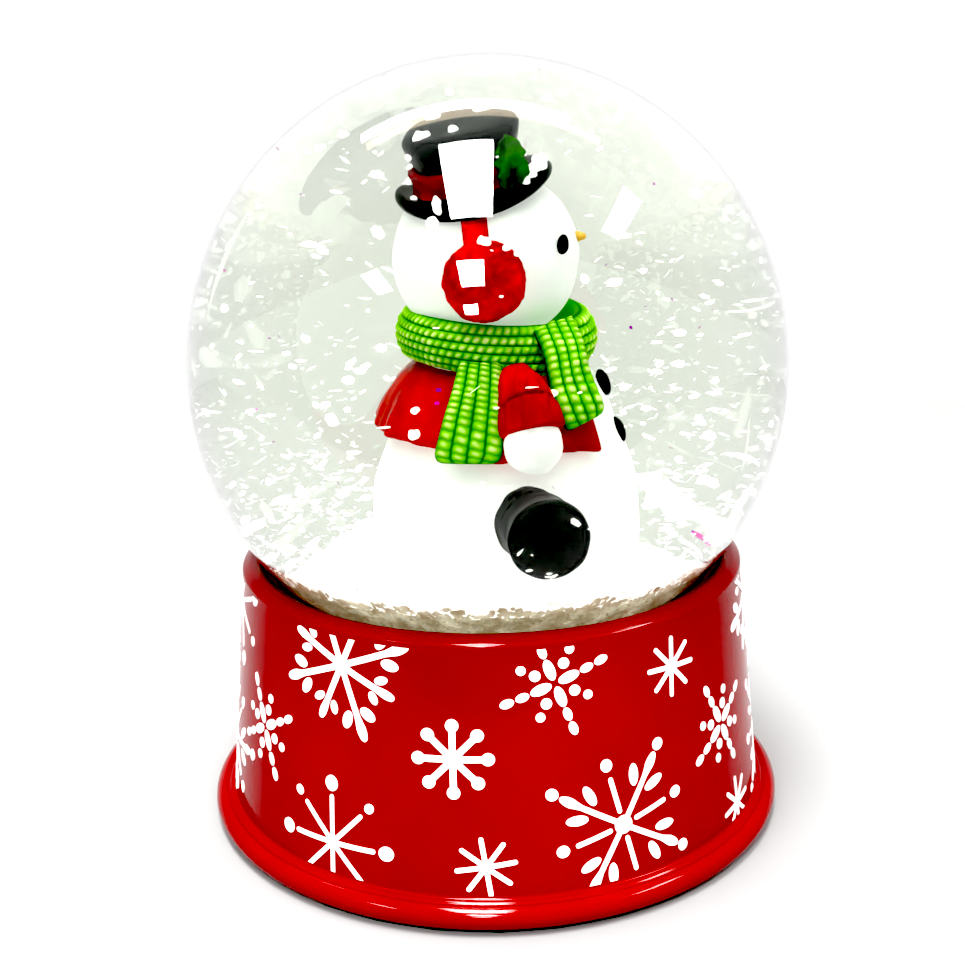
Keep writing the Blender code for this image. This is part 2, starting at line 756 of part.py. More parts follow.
def build_comb():
    start = DRUM_START + 0.5
    spacing = (DRUM_END - DRUM_START - 1.0) / NOTES
    tip = DRUM_RADIUS + PIN_RISE + GAP
    root = 13.0
    slit = 0.14
    outline = []
    for i in range(NOTES):
        left = start + i * spacing + slit / 2
        right = start + (i + 1) * spacing - slit / 2
        outline += [(left, root), (left, tip), (right, tip), (right, root)]
    outline += [(DRUM_END, root), (DRUM_END, 19), (DRUM_START, 19), (DRUM_START, root)]
    places = [(17.8, 16.4), (25.2, 16.4)]
    loops = [outline] + [circle(1.05, place) for place in places]
    flat_outline("comb", loops, 1.0, steel(), (0, 0, DRUM_Z))
    low = (DRUM_START, 13.6, BEDPLATE_TOP + GAP)
    high = (DRUM_END, 19, DRUM_Z - 0.5 - GAP)
    riser = box("comb_riser", low, high, zinc())
    for i, (x, y) in enumerate(places):
        cut(riser, rod(f"riser_hole_{i}", 1.05, (x, y, 15), (x, y, 22), None, segments=12))
        profile = [(0, 1.1), (1.4, 0.8), (1.8, 0), (0.75, 0), (0.75, -3.8), (0, -3.8)]
        turned(f"comb_screw_{i + 1}", profile, steel(), steps=14, at=(x, y, DRUM_Z + 0.5 + GAP))


def build_governor():
    """The idler shaft lies along X and drives the upright worm, whose fan brakes the movement."""
    along = (0, radians(90), 0)
    at = (SPUR_X, IDLER_Y, DRUM_Z)
    phase = pi / 2 + pi / IDLER_TEETH
    pinion = gear_loop(IDLER_TEETH, SPUR_MODULE * IDLER_TEETH / 2, SPUR_MODULE, phase=phase)
    idler = flat_outline("governor_idler", [pinion], SPUR_THICKNESS, white_nylon(), at, along)
    pitch_radius = WORM_MODULE * WORM_WHEEL_TEETH / 2
    wheel = gear_loop(WORM_WHEEL_TEETH, pitch_radius, WORM_MODULE * 0.8, phase=pi / 2)
    wheel_at = (WORM_WHEEL_X, IDLER_Y, DRUM_Z)
    join(idler, flat_outline("worm_wheel", [wheel], 1.0, None, wheel_at, along))
    ends = ((29.0, IDLER_Y, DRUM_Z), (35.9, IDLER_Y, DRUM_Z))
    join(idler, rod("idler_shaft", 0.7, *ends, None, segments=12))
    build_worm()
    build_governor_frame()


def build_worm():
    pitch = pi * WORM_MODULE
    turns = 5
    core = WORM_RADIUS - WORM_MODULE * 1.0
    crest = WORM_RADIUS + WORM_MODULE * 0.8
    at = (WORM_WHEEL_X, WORM_Y, 0)
    profile = [
        (0, 25.4),
        (0.5, 25.4),
        (0.5, WORM_TOP),
        (core, WORM_TOP),
        (core, WORM_BOTTOM),
        (0.5, WORM_BOTTOM),
        (0.5, 13.6),
        (0, 13.6),
    ]
    worm = turned("governor_worm", profile, white_nylon(), steps=12, at=at)
    thread = add_object("worm_thread", thread_mesh(core - 0.2, crest, pitch, turns), None, at)
    join(worm, thread)
    fan = box("governor_fan", (-3.4, -0.3, 23.6), (3.4, 0.3, 25.0), white_nylon())
    fan.location = Vector((WORM_WHEEL_X, WORM_Y, 24.3)) * MM
    low, high = ((WORM_WHEEL_X, WORM_Y, z) for z in (23.6, 25.0))
    join(fan, rod("fan_hub", 1.5, low, high, None, segments=12))
    low, high = ((WORM_WHEEL_X, WORM_Y, z) for z in (23.0, 26.0))
    cut(fan, rod("fan_bore", 0.8, low, high, None, segments=12))


def thread_mesh(root, crest, pitch, turns, steps=10):
    """A helical ridge lofted from a four-cornered section, its middle turn at the drum's height."""
    section = [(root, 0.28), (crest, 0.16), (crest, -0.16), (root, -0.28)]
    work = bmesh.new()
    rings = []
    for i in range(turns * steps + 1):
        way = 2 * pi * i / steps
        rise = DRUM_Z + pitch * (i / steps - turns / 2 - 0.25)
        ring = [Vector((r * cos(way), r * sin(way), rise + z)) * MM for r, z in section]
        rings.append([work.verts.new(point) for point in ring])
    for last, ring in zip(rings, rings[1:]):
        for i in range(4):
            work.faces.new((last[i], last[i - 1], ring[i - 1], ring[i]))
    work.faces.new(rings[0])
    work.faces.new(rings[-1])
    return mesh_from("worm_thread", work)


def build_governor_frame():
    low = BEDPLATE_TOP + GAP
    high = FLOOR_UNDERSIDE - GAP
    frame = box("governor_frame", (29.0, -15.5, low), (30.4, -5.6, high), zinc())
    arm_end = (WORM_WHEEL_X + 1.5, WORM_Y + 2, high - 0.1)
    join(frame, box("governor_arm", (29.6, WORM_Y - 2, high - 1), arm_end, None))
    ends = ((28, IDLER_Y, DRUM_Z), (31, IDLER_Y, DRUM_Z))
    cut(frame, rod("frame_bore", 0.95, *ends, None, segments=12))


def main():
    global PARTS, CUTTERS
    clear_scene()
    PARTS = new_collection("snow_globe")
    CUTTERS = new_collection("cutters")
    build_glass()
    build_stopper()
    build_liquid()
    build_loose_snow()
    build_mound()
    build_body()
    build_head()
    build_face()
    build_hat()
    build_hatband()
    build_leaf_bow()
    build_earmuffs()
    build_scarf()
    build_cape()
    build_arms_and_boots()
    build_buttons()
    build_base()
    build_felt()
    build_cover()
    build_bedplate()
    build_winding()
    build_great_wheel()
    build_spring()
    build_housing()
    build_drum()
    build_bearings()
    build_comb()
    build_governor()


main()
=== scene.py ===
"""A wind-up musical snow globe: its finished surfaces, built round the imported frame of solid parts.

Lengths are written in millimetres, and MM turns them into Blender's metres where a mesh is made.
The ground is z = 0 under the middle of the base, and the snowman looks towards +X.
"""

from math import asin, atan2, cos, exp, hypot, pi, radians, sin, sqrt
from random import Random

import bmesh
import bpy
from mathutils import Matrix, Vector, noise


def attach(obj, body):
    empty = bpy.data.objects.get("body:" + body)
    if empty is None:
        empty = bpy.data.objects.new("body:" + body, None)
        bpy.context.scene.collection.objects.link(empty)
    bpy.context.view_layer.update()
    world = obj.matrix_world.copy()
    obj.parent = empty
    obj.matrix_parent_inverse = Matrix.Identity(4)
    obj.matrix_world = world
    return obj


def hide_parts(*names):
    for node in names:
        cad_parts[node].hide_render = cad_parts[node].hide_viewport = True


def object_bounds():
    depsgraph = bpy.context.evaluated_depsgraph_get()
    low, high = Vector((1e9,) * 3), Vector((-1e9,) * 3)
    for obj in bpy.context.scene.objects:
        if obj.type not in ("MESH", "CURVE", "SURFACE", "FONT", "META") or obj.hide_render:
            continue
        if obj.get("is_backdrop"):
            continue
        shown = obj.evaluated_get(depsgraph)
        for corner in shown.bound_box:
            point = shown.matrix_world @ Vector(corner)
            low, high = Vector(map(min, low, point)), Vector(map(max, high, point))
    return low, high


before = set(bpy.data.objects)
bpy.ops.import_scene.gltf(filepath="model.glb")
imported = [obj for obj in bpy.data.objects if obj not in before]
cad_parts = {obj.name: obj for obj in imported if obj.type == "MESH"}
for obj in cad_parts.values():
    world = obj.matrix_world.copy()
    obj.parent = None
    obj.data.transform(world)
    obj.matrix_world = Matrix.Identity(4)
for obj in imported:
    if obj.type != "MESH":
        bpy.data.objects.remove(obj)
CAD_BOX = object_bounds()

MM = 0.001
TAU = 2 * pi
SIDES = ((1, "left"), (-1, "right"))

# Globe.
BALL_RADIUS = 50.0
BALL_HALF_HEIGHT = 51.0
BALL_Z = 77.8
GLASS_SKIN = 0.35
LIQUID_GAP = 0.06
LIQUID_TOP = 125.0
NECK_RADIUS = 30.0
NECK_BOTTOM = 31.2
LIQUID_FOOT = 39.6

# Base.
BASE_TOP = 44.3
BASE_TOP_RADIUS = 43.1
BASE_BOTTOM = 4.3
BASE_BOTTOM_RADIUS = 46.95
INK_THICKNESS = 0.12
INK_SUNK = 0.025

# Snow.
BED_LEVEL = 48.1
BED_FOOT = 38.6
# Share of the bed's radius from which the painted shade at the glass begins.
SHADED_FROM = 0.93
FLOATING_FLAKES = 1900
SETTLED_FLAKES = 3000
RIM_FLAKES = 4200
GLITTER_FLAKES = 60

# Figure.
BODY_X = 2.0
HEAD = (0.0, 0.0, 92.0)
HEAD_RADII = (11.8, 11.8, 11.4)
EYE_Z = 95.0
EYE_AZIMUTH = radians(32.0)
NOSE_Z = 94.5
MUFF = (-0.2, 11.9, 91.8)
SCARF_FOOT = 78.6
SCARF_HEIGHT = 6.9
HAT_FOOT = Vector((-1.4, 0.0, 100.1))
HAT_TILT = radians(11.0)
WET_SPECULAR = 0.08
CAPE_OPENING = 42.0


# --- Meshes ---


def piece(name, skin, finish, *replaces, smooth=True):
    """A finished piece from points in millimetres and faces, riding on the globe, the one body that shows.

    finish is a material and the record's slot for it; the slot is not used. replaces names the nodes that the
    piece stands for.
    """
    verts, faces = skin
    look, slot = finish
    mesh = bpy.data.meshes.new(name)
    mesh.from_pydata([(x * MM, y * MM, z * MM) for x, y, z in verts], [], faces)
    work = bmesh.new()
    work.from_mesh(mesh)
    bmesh.ops.recalc_face_normals(work, faces=work.faces)
    work.to_mesh(mesh)
    work.free()
    if smooth:
        mesh.shade_smooth()
    mesh.materials.append(look)
    obj = bpy.data.objects.new(name, mesh)
    bpy.context.scene.collection.objects.link(obj)
    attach(obj, "globe")
    if replaces:
        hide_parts(*replaces)
    return obj


def sharpen(obj):
    obj.data.set_sharp_from_angle(angle=radians(50))


def mark(obj, name, values):
    """Gives the points of a piece a number each, which its material reads."""
    obj.data.attributes.new(name, "FLOAT", "POINT").data.foreach_set("value", values)


def flow(points, per=6, closed=False):
    """A smooth line through 2D or 3D points, with per steps between each two."""
    points = [Vector(p) for p in points]
    if closed:
        ends = points[-1:] + points + points[:2]
    else:
        ends = points[:1] + points + points[-1:]
    out = []
    for a, b, c, d in zip(ends, ends[1:], ends[2:], ends[3:]):
        for k in range(per):
            t = k / per
            out.append(
                b
                + (c - a) * (t / 2)
                + (a * 2 - b * 5 + c * 4 - d) * (t * t / 2)
                + (b * 3 - a - c * 3 + d) * (t * t * t / 2)
            )
    return out if closed else out + points[-1:]


def limited(value, low=0.0, high=1.0):
    return max(low, min(high, value))


def eased(share):
    return share * share * (3 - 2 * share)


def polar(radius, angle):
    return radius * cos(angle), radius * sin(angle)


def turned(radius, angle, z):
    return (*polar(radius, angle), z)


def between(rings, segments):
    """Faces that join rings of point numbers. A ring of one number is a pole."""
    faces = []
    for upper, lower in zip(rings, rings[1:]):
        high, low = len(upper), len(lower)
        for i in range(segments):
            j = (i + 1) % segments
            face = [upper[i % high], lower[i % low], lower[j % low], upper[j % high]]
            face = [v for k, v in enumerate(face) if v != face[k - 1]]
            if len(face) > 2:
                faces.append(face)
    return faces


def lathe(profile, segments, shape=turned, closed=False):
    """Points and faces of a body turned about Z. shape may move each point: shape(radius, angle, z)."""
    verts = []
    rings = []
    for radius, z in profile:
        if abs(radius) < 1e-6:
            rings.append([len(verts)])
            verts.append(shape(0.0, 0.0, z))
            continue
        rings.append(list(range(len(verts), len(verts) + segments)))
        verts += [shape(radius, TAU * i / segments, z) for i in range(segments)]
    return verts, between(rings + rings[:1] if closed else rings, segments)


def loft(rings, cap=True):
    """Points and faces of a skin over rings of equal length, closed round each ring."""
    size = len(rings[0])
    verts = [p for ring in rings for p in ring]
    faces = []
    for k in range(len(rings) - 1):
        for i in range(size):
            j = (i + 1) % size
            faces.append([k * size + i, k * size + j, (k + 1) * size + j, (k + 1) * size + i])
    if cap:
        faces.append(list(range(size))[::-1])
        faces.append([(len(rings) - 1) * size + i for i in range(size)])
    return verts, faces


def ball(centre, radii, rough=0.0, size=1.0, seed=0.0, steps=40, turn=None):
    """A lumpy ellipsoid. rough is how far its noise moves the skin, in millimetres."""
    turn = turn or Matrix.Identity(3)
    rows = steps // 2

    def lumpy(radius, way, up):
        unit = Vector((*polar(radius, way), up))
        point = Vector((unit.x * radii[0], unit.y * radii[1], unit.z * radii[2]))
        swell = rough * noise.noise(point / size + Vector((seed, seed * 0.7, 3.1)))
        return Vector(centre) + turn @ (point + unit * swell)

    return lathe([(sin(pi * k / rows), cos(pi * k / rows)) for k in range(rows + 1)], steps, lumpy)


def joined(bodies):
    verts = []
    faces = []
    for more_verts, more_faces in bodies:
        start = len(verts)
        verts += more_verts
        faces += [[start + i for i in face] for face in more_faces]
    return verts, faces


def ball_arc(inset, z_from, z_to, count):
    """Points down the ball's wall, inset from its outer surface, between two heights."""
    radius = BALL_RADIUS - inset
    half_height = BALL_HALF_HEIGHT - inset
    start = asin(limited((z_from - BALL_Z) / half_height, -1.0))
    end = asin(limited((z_to - BALL_Z) / half_height, -1.0))
    angles = [start + (end - start) * i / count for i in range(count + 1)]
    return [(max(0.0, radius * cos(a)), BALL_Z + half_height * sin(a)) for a in angles]


def ball_height_at(radius, inset):
    fraction = radius / (BALL_RADIUS - inset)
    return BALL_Z - (BALL_HALF_HEIGHT - inset) * sqrt(1 - fraction * fraction)


def ball_radius_at(z, inset):
    fraction = (z - BALL_Z) / (BALL_HALF_HEIGHT - inset)
    return (BALL_RADIUS - inset) * sqrt(max(0.0, 1 - fraction * fraction))


# --- Materials ---


class Look:
    """A Principled material whose colour, roughness and bump come from procedural nodes."""

    def __init__(self, name):
        self.made = bpy.data.materials.new(name)
        self.made.use_nodes = True
        self.tree = self.made.node_tree
        self.shader = self.tree.nodes["Principled BSDF"]
        self.place = self.node("ShaderNodeTexCoord").outputs["Object"]
        self.normal = None

    def node(self, kind, **settings):
        made = self.tree.nodes.new(kind)
        for key, value in settings.items():
            setattr(made, key, value)
        return made

    def link(self, start, end):
        self.tree.links.new(start, end)

    def set(self, **values):
        names = dict(
            roughness="Roughness", metallic="Metallic", ior="IOR", specular="Specular IOR Level",
            transmission="Transmission Weight", sheen="Sheen Weight", glow="Emission Strength",
        )
        for key, value in values.items():
            self.shader.inputs[names[key]].default_value = value

    def painted_glow(self, strength):
        """Painted light: an emission in the surface's own colour, standing in for the light that thin flakes
        and wet white paint pass on from behind.
        """
        source = self.shader.inputs["Base Color"].links[0].from_socket
        self.link(source, self.shader.inputs["Emission Color"])
        self.set(glow=strength)

    def texture(self, kind, output, stretch=None, **values):
        made = self.node(kind)
        for key, value in values.items():
            made.inputs[key].default_value = value
        place = self.place
        if stretch:
            mapping = self.node("ShaderNodeMapping")
            mapping.inputs["Scale"].default_value = stretch
            self.link(place, mapping.inputs["Vector"])
            place = mapping.outputs["Vector"]
        self.link(place, made.inputs["Vector"])
        return made.outputs[output]

    def noise(self, scale, detail=4.0, rough=0.55, stretch=None):
        """A noise pattern with scale in features to the metre."""
        return self.texture("ShaderNodeTexNoise", "Fac", stretch, Scale=scale, Detail=detail, Roughness=rough)

    def cells(self, scale):
        return self.texture("ShaderNodeTexVoronoi", "Distance", Scale=scale)

    def ramp(self, value, *stops):
        """Colours along a value, each stop a (place, colour) pair."""
        made = self.node("ShaderNodeValToRGB")
        band = made.color_ramp
        while len(band.elements) < len(stops):
            band.elements.new(0.5)
        for element, (place, colour) in zip(band.elements, stops):
            element.position = place
            element.color = (*colour, 1.0)
        self.link(value, made.inputs["Fac"])
        return made.outputs["Color"]

    def blend(self, share, first, second, how="MIX"):
        made = self.node("ShaderNodeMix", data_type="RGBA", blend_type=how)
        for socket, value in ((made.inputs[0], share), (made.inputs[6], first), (made.inputs[7], second)):
            if isinstance(value, float):
                socket.default_value = value
            else:
                self.link(value, socket)
        return made.outputs[2]

    def colour(self, value):
        """One colour on the socket itself, or a pattern linked to it."""
        if isinstance(value, tuple):
            self.shader.inputs["Base Color"].default_value = (*value, 1.0)
        else:
            self.link(value, self.shader.inputs["Base Color"])

    def rough(self, value, low, high):
        """Roughness that runs from low to high along a value."""
        made = self.node("ShaderNodeMapRange")
        made.inputs["To Min"].default_value = low
        made.inputs["To Max"].default_value = high
        self.link(value, made.inputs["Value"])
        self.link(made.outputs["Result"], self.shader.inputs["Roughness"])

    def bump(self, value, height, strength=1.0):
        """Relief of a height in millimetres."""
        made = self.node("ShaderNodeBump")
        made.inputs["Strength"].default_value = strength
        made.inputs["Distance"].default_value = height * MM
        self.link(value, made.inputs["Height"])
        if self.normal is not None:
            self.link(self.normal, made.inputs["Normal"])
        self.normal = made.outputs["Normal"]
        self.link(self.normal, self.shader.inputs["Normal"])


def lacquer():
    look = Look("red_lacquer_coat")
    drift = look.noise(28, detail=3)
    look.colour(look.ramp(drift, (0.3, (0.205, 0.0, 0.001)), (0.7, (0.25, 0.0, 0.002))))
    look.rough(look.noise(700, detail=5), 0.06, 0.15)
    look.set(specular=0.32)
    look.bump(look.noise(260, detail=2), 0.02)
    return look.made


def plain(name, scales, dark, light, rough, relief, soft=0.2, **settings):
    """A finish whose colour, roughness and relief each drift with a noise of their own scale."""
    tint, shine, grain = scales
    look = Look(name)
    look.colour(look.ramp(look.noise(tint), (0.5 - soft, dark), (0.5 + soft, light)))
    look.rough(look.noise(shine), *rough)
    look.bump(look.noise(grain), relief)
    look.set(**settings)
    return look


def clear(name, tint, ior, ripple, relief, strength):
    """Glass or liquid, with the slightest ripple in its surface."""
    look = Look(name)
    look.colour(tint)
    look.set(roughness=0.0, transmission=1.0, ior=ior)
    look.bump(look.noise(*ripple), relief, strength)
    return look.made


def snow():
    """Settled flakes, with painted shade, darker and tan, where the edge attribute says they lie against the
    glass, and a painted glow in their own colour.
    """
    look = Look("settled_snow")
    grains = look.cells(1100)
    # Painted shade: the tan and darker grains of the snow against the glass.
    shaded = look.ramp(grains, (0.0, (0.9, 0.86, 0.74)), (0.55, (0.58, 0.53, 0.42)))
    white = look.ramp(look.noise(420, detail=6), (0.3, (0.88, 0.88, 0.88)), (0.6, (0.96, 0.96, 0.96)))
    share = look.node("ShaderNodeAttribute", attribute_name="edge").outputs["Fac"]
    look.colour(look.blend(share, white, shaded))
    look.rough(look.noise(800), 0.5, 0.8)
    look.set(specular=WET_SPECULAR)
    look.bump(grains, 0.1)
    look.bump(look.noise(450, detail=6), 0.25)
    # Painted light: the snow glows in its own colour, its painted shade included.
    look.painted_glow(0.3)
    return look.made


def flake(name="snow_flake", dark=(0.9, 0.9, 0.88), light=(0.97, 0.97, 0.97), glow=0.55):
    """Thin plastic flakes, with a painted glow in their own colour for the light that falls on their far
    side.
    """
    look = plain(name, (300, 900, 1800), dark, light, (0.35, 0.6), 0.02, 0.15)
    look.painted_glow(glow)
    return look.made


def paint(name, slot, dark, light, low, high, relief=0.05, grain=420, glow=0.0):
    """Brushed hobby paint over cast resin. Under the liquid it has almost no shine of its own."""
    look = Look(name)
    patchy = look.noise(grain / 3, detail=6)
    look.colour(look.ramp(patchy, (0.32, dark), (0.68, light)))
    look.rough(look.noise(grain * 2), low, high)
    look.set(specular=WET_SPECULAR)
    look.bump(look.noise(grain, detail=5), relief)
    look.bump(look.noise(grain / 5, detail=2), relief * 2)
    # Painted light: an emission in the paint's own colour.
    if glow:
        look.painted_glow(glow)
    return look.made, slot


def knitted():
    """Lime stitches, with painted shade in darker green between them and a painted highlight in pale
    yellow-green on their tops; the stitch attribute is the height.
    """
    look = Look("lime_knit_paint")
    height = look.node("ShaderNodeAttribute", attribute_name="stitch").outputs["Fac"]
    # Painted shade and painted highlight: darker green low between the stitches, pale yellow-green on their
    # tops.
    base = look.ramp(
        height,
        (0.05, (0.01, 0.2, 0.002)),
        (0.32, (0.12, 0.52, 0.003)),
        (0.68, (0.3, 0.8, 0.01)),
        (0.96, (0.85, 1.0, 0.42)),
    )
    patchy = look.ramp(look.noise(260, detail=6), (0.3, (0.75, 0.75, 0.75)), (0.7, (1.0, 1.0, 1.0)))
    look.colour(look.blend(0.6, base, patchy, "MULTIPLY"))
    look.rough(look.noise(900), 0.3, 0.5)
    look.set(specular=WET_SPECULAR)
    look.bump(look.noise(1300, detail=5), 0.06)
    return look.made


def metal(name, dark, light, low, high, brush=(1.0, 1.0, 12.0), relief=0.012):
    look = Look(name)
    grain = look.noise(220, detail=6, stretch=brush)
    look.colour(look.ramp(grain, (0.3, dark), (0.7, light)))
    look.rough(look.noise(500, detail=5, stretch=brush), low, high)
    look.set(metallic=1.0)
    look.bump(look.noise(900, detail=4, stretch=brush), relief)
    return look.made


def moulded(name, dark, light, low, high, grain=1100, relief=0.03):
    look = Look(name)
    look.colour(look.ramp(look.noise(60, detail=4), (0.3, dark), (0.7, light)))
    look.rough(look.noise(grain / 2), low, high)
    look.bump(look.noise(grain, detail=6), relief)
    return look.made


def felt():
    look = Look("green_felt")
    fibres = look.noise(1800, detail=8, rough=0.75)
    look.colour(look.ramp(fibres, (0.3, (0.012, 0.03, 0.016)), (0.7, (0.07, 0.12, 0.08))))
    look.rough(fibres, 0.85, 1.0)
    look.set(sheen=0.4)
    look.bump(fibres, 0.12)
    return look.made


RED = lacquer(), "red_lacquer"
PRINT = plain(
    "white_print", (900, 1500, 2400), (0.86, 0.86, 0.86), (0.93, 0.93, 0.93), (0.3, 0.45), 0.01
).made, "painted_white"
GLASS = clear("blown_glass", (0.985, 0.995, 0.99), 1.45, (30, 1), 0.01, 0.4), "clear_glass"
LIQUID = clear("clear_filling", (0.795, 0.83, 0.74), 1.333, (20, 0), 0.002, 0.2), "clear_liquid"
PINK = plain(
    "pink_glitter", (200, 900, 1500), (0.9, 0.02, 0.55), (0.6, 0.02, 0.8), (0.1, 0.3), 0.01, 0.1, metallic=0.6
).made, "snow_white"
SNOW = snow(), "snow_white"
FLAKE = flake(), "snow_white"
# Painted shade: flakes against the glass above the rim are darker and tan, with a weaker painted glow.
RIM_FLAKE = flake("shaded_flake", (0.56, 0.51, 0.4), (0.97, 0.94, 0.83), 0.3), "snow_white"
# Painted light: the figure's white paint glows a little in its own colour.
FIGURE_WHITE = paint(
    "figure_white", "painted_white", (0.84, 0.85, 0.86), (0.95, 0.95, 0.95), 0.28, 0.45, 0.04, 300, 0.27
)
# Painted light: the clinging snow glows in its own colour.
CLINGING = paint(
    "clinging_snow", "snow_white", (0.88, 0.89, 0.9), (0.97, 0.97, 0.97), 0.5, 0.8, 0.3, 300, 0.55
)
FIGURE_BLACK = paint(
    "figure_black", "painted_black", (0.002, 0.004, 0.004), (0.009, 0.012, 0.011), 0.1, 0.26, 0.05, 380
)
FIGURE_RED = paint("figure_red", "painted_red", (0.42, 0.0, 0.002), (0.68, 0.002, 0.004), 0.08, 0.24, 0.12)
MUFF_RED = paint("muff_red", "painted_red", (0.42, 0.0, 0.003), (0.98, 0.03, 0.04), 0.14, 0.35, 0.3, 800)
BAND_RED = paint("band_red", "painted_red", (0.17, 0.0, 0.003), (0.4, 0.002, 0.01), 0.15, 0.3, 0.08, 500)
LEAF_GREEN = paint(
    "leaf_green", "painted_green", (0.001, 0.035, 0.001), (0.045, 0.3, 0.006), 0.14, 0.32, 0.3, 900
)
CARROT = paint("carrot_orange", "painted_orange", (0.8, 0.38, 0.05), (0.95, 0.62, 0.16), 0.3, 0.45, 0.06, 800)
KNIT = knitted(), "painted_lime"


# --- Base ---


def base_radius(z):
    slope = (BASE_BOTTOM_RADIUS - BASE_TOP_RADIUS) / (BASE_TOP - BASE_BOTTOM)
    return BASE_TOP_RADIUS + (BASE_TOP - z) * slope


def build_base():
    """The lacquered shell: glass seat, rolled lip, taper, stepped foot bead and the hollow underneath."""
    seat = [(0, 28.6), (31.8, 28.6)] + ball_arc(-0.3, 38.4, 44.6, 6)
    lip = flow([(39.5, 44.9), (39.9, 45.5), (40.7, 45.88), (41.7, 45.75), (42.6, 45.2)], 4)
    shoulder = flow([(42.8, 45.05), (43.0, 44.85), (43.12, 44.6), (43.15, 44.2)], 4)
    taper = [(base_radius(z), z) for z in (43.6, 42.0, 38, 34, 30, 26, 22, 18, 14, 10, 8, 6.4, 5.6)]
    step = flow([(46.86, 5.1), (46.95, 4.86), (47.2, 4.66), (47.65, 4.56), (48.0, 4.3), (48.25, 4.28)], 4)
    bead = flow(
        [(48.5, 4.42), (49.0, 4.4), (49.8, 3.9), (50.3, 3.1), (50.38, 2.2), (50.0, 1.3), (49.3, 0.8)], 5
    )
    under = [(48.8, 0.62), (44.5, 0.6), (44.2, 0.8), (44.0, 11.3), (39.5, 11.3), (39.5, 17)]
    inside = [(base_radius(19) - 2.7, 19), (base_radius(27) - 2.7, 27), (0, 27)]
    profile = seat + lip + shoulder + taper + step + bead + under + inside
    sharpen(piece("lacquered_base", lathe(profile, 256), RED, "base_shell"))


def strip(stations, at, angle):
    """A flat closed shape along an axis through a point, from (distance, half width) stations."""
    along = Vector(polar(1, angle))
    across = Vector((-sin(angle), cos(angle)))
    rings = []
    for s, half in stations:
        middle = Vector(at) + along * s
        left = middle - across * half
        right = middle + across * half
        ends = (left, middle, right)
        rings.append([(p.x, p.y, INK_THICKNESS) for p in ends] + [(p.x, p.y, 0) for p in reversed(ends)])
    return loft(rings)


def arm(angle, start, end, half, tip=None):
    """An arm with round ends, which may widen to a club near its tip."""
    length = end - start
    stations = []
    steps = 18
    for i in range(steps + 1):
        s = length * (1 - cos(pi * i / steps)) / 2
        width = half
        if tip:
            club = max(0.0, 1 - abs(s - (length - tip * 2.2)) / (tip * 2.6))
            width = half + (tip - half) * eased(club)
        near = min(s, length - s)
        if near < width:
            width = max(0.02, sqrt(max(0.0, width * width - (width - near) ** 2)))
        stations.append((start + s, width))
    return strip(stations, (0, 0), angle)


def petal(angle, distance, half_length, half_width, lean=0.0):
    """An oval spot on an arm's line, leaning away from that line by an angle."""
    stations = []
    steps = 12
    for i in range(steps + 1):
        s = -cos(pi * i / steps)
        stations.append((s * half_length, max(0.02, half_width * sqrt(1 - s * s))))
    return strip(stations, polar(distance, angle), angle + lean)


def spokes(count, turn):
    return [(i, turn + i * TAU / count) for i in range(count)]


def leaved(turn):
    """Eight clubbed arms, long and short in turn, each with a pair of leaves."""
    bodies = [petal(0, 0, 1.3, 1.3)]
    for i, angle in spokes(8, turn):
        length, club, out, half = (10.2, 0.74, 7.2, 1.15) if i % 2 else (12.4, 0.86, 8.6, 1.5)
        bodies.append(arm(angle, 0, length, 0.52, club))
        for side, _ in SIDES:
            bodies.append(petal(angle + side * radians(13), out, half, half * 0.6, side * radians(22)))
    return bodies


def dotted(turn):
    """Four chains of ovals with four pairs of dots between them."""
    bodies = []
    for _, angle in spokes(4, turn):
        bodies += [petal(angle, *oval) for oval in ((2.3, 1.75, 0.85), (5.35, 1.12, 0.7), (7.85, 1.15, 0.72))]
        bodies += [petal(angle + TAU / 8, *dot) for dot in ((3.35, 0.9, 0.88), (5.65, 0.78, 0.76))]
    return bodies


def balled(turn):
    bodies = [petal(0, 0, 1.1, 1.1)]
    for _, angle in spokes(8, turn):
        bodies += [arm(angle, 0, 5.3, 0.54), petal(angle, 5.35, 1.06, 1.04)]
    return bodies


def star(turn):
    return [petal(0, 0, 0.9, 0.9)] + [arm(angle, 0, 4.95, 0.41) for _, angle in spokes(8, turn)]


def tipped(turn):
    """Eight arms, each with a ball standing off its end, the balls large and small in turn."""
    bodies = [petal(0, 0, 1.0, 1.0)]
    for i, angle in spokes(8, turn):
        size = 0.88 if i % 2 else 1.32
        bodies += [arm(angle, 0, 8.0, 0.42), petal(angle, 9.85, size, size * 0.93)]
    return bodies


def great(turn):
    """Four leafed arms with balls at their ends, and four loose arms between them."""
    bodies = [petal(0, 0, 1.55, 1.55)]
    for _, angle in spokes(4, turn):
        bodies += [arm(angle, 0, 12.1, 0.46, 0.84), petal(angle, 13.4, 1.05, 1.0)]
        for side in (1, -1):
            bodies.append(petal(angle + side * radians(15.5), 8.0, 1.85, 0.84, side * radians(16)))
        loose_arm = angle + TAU / 8
        bodies += [arm(loose_arm, 2.0, 8.4, 0.42), petal(loose_arm, 10.5, 1.08, 1.0)]
    return bodies


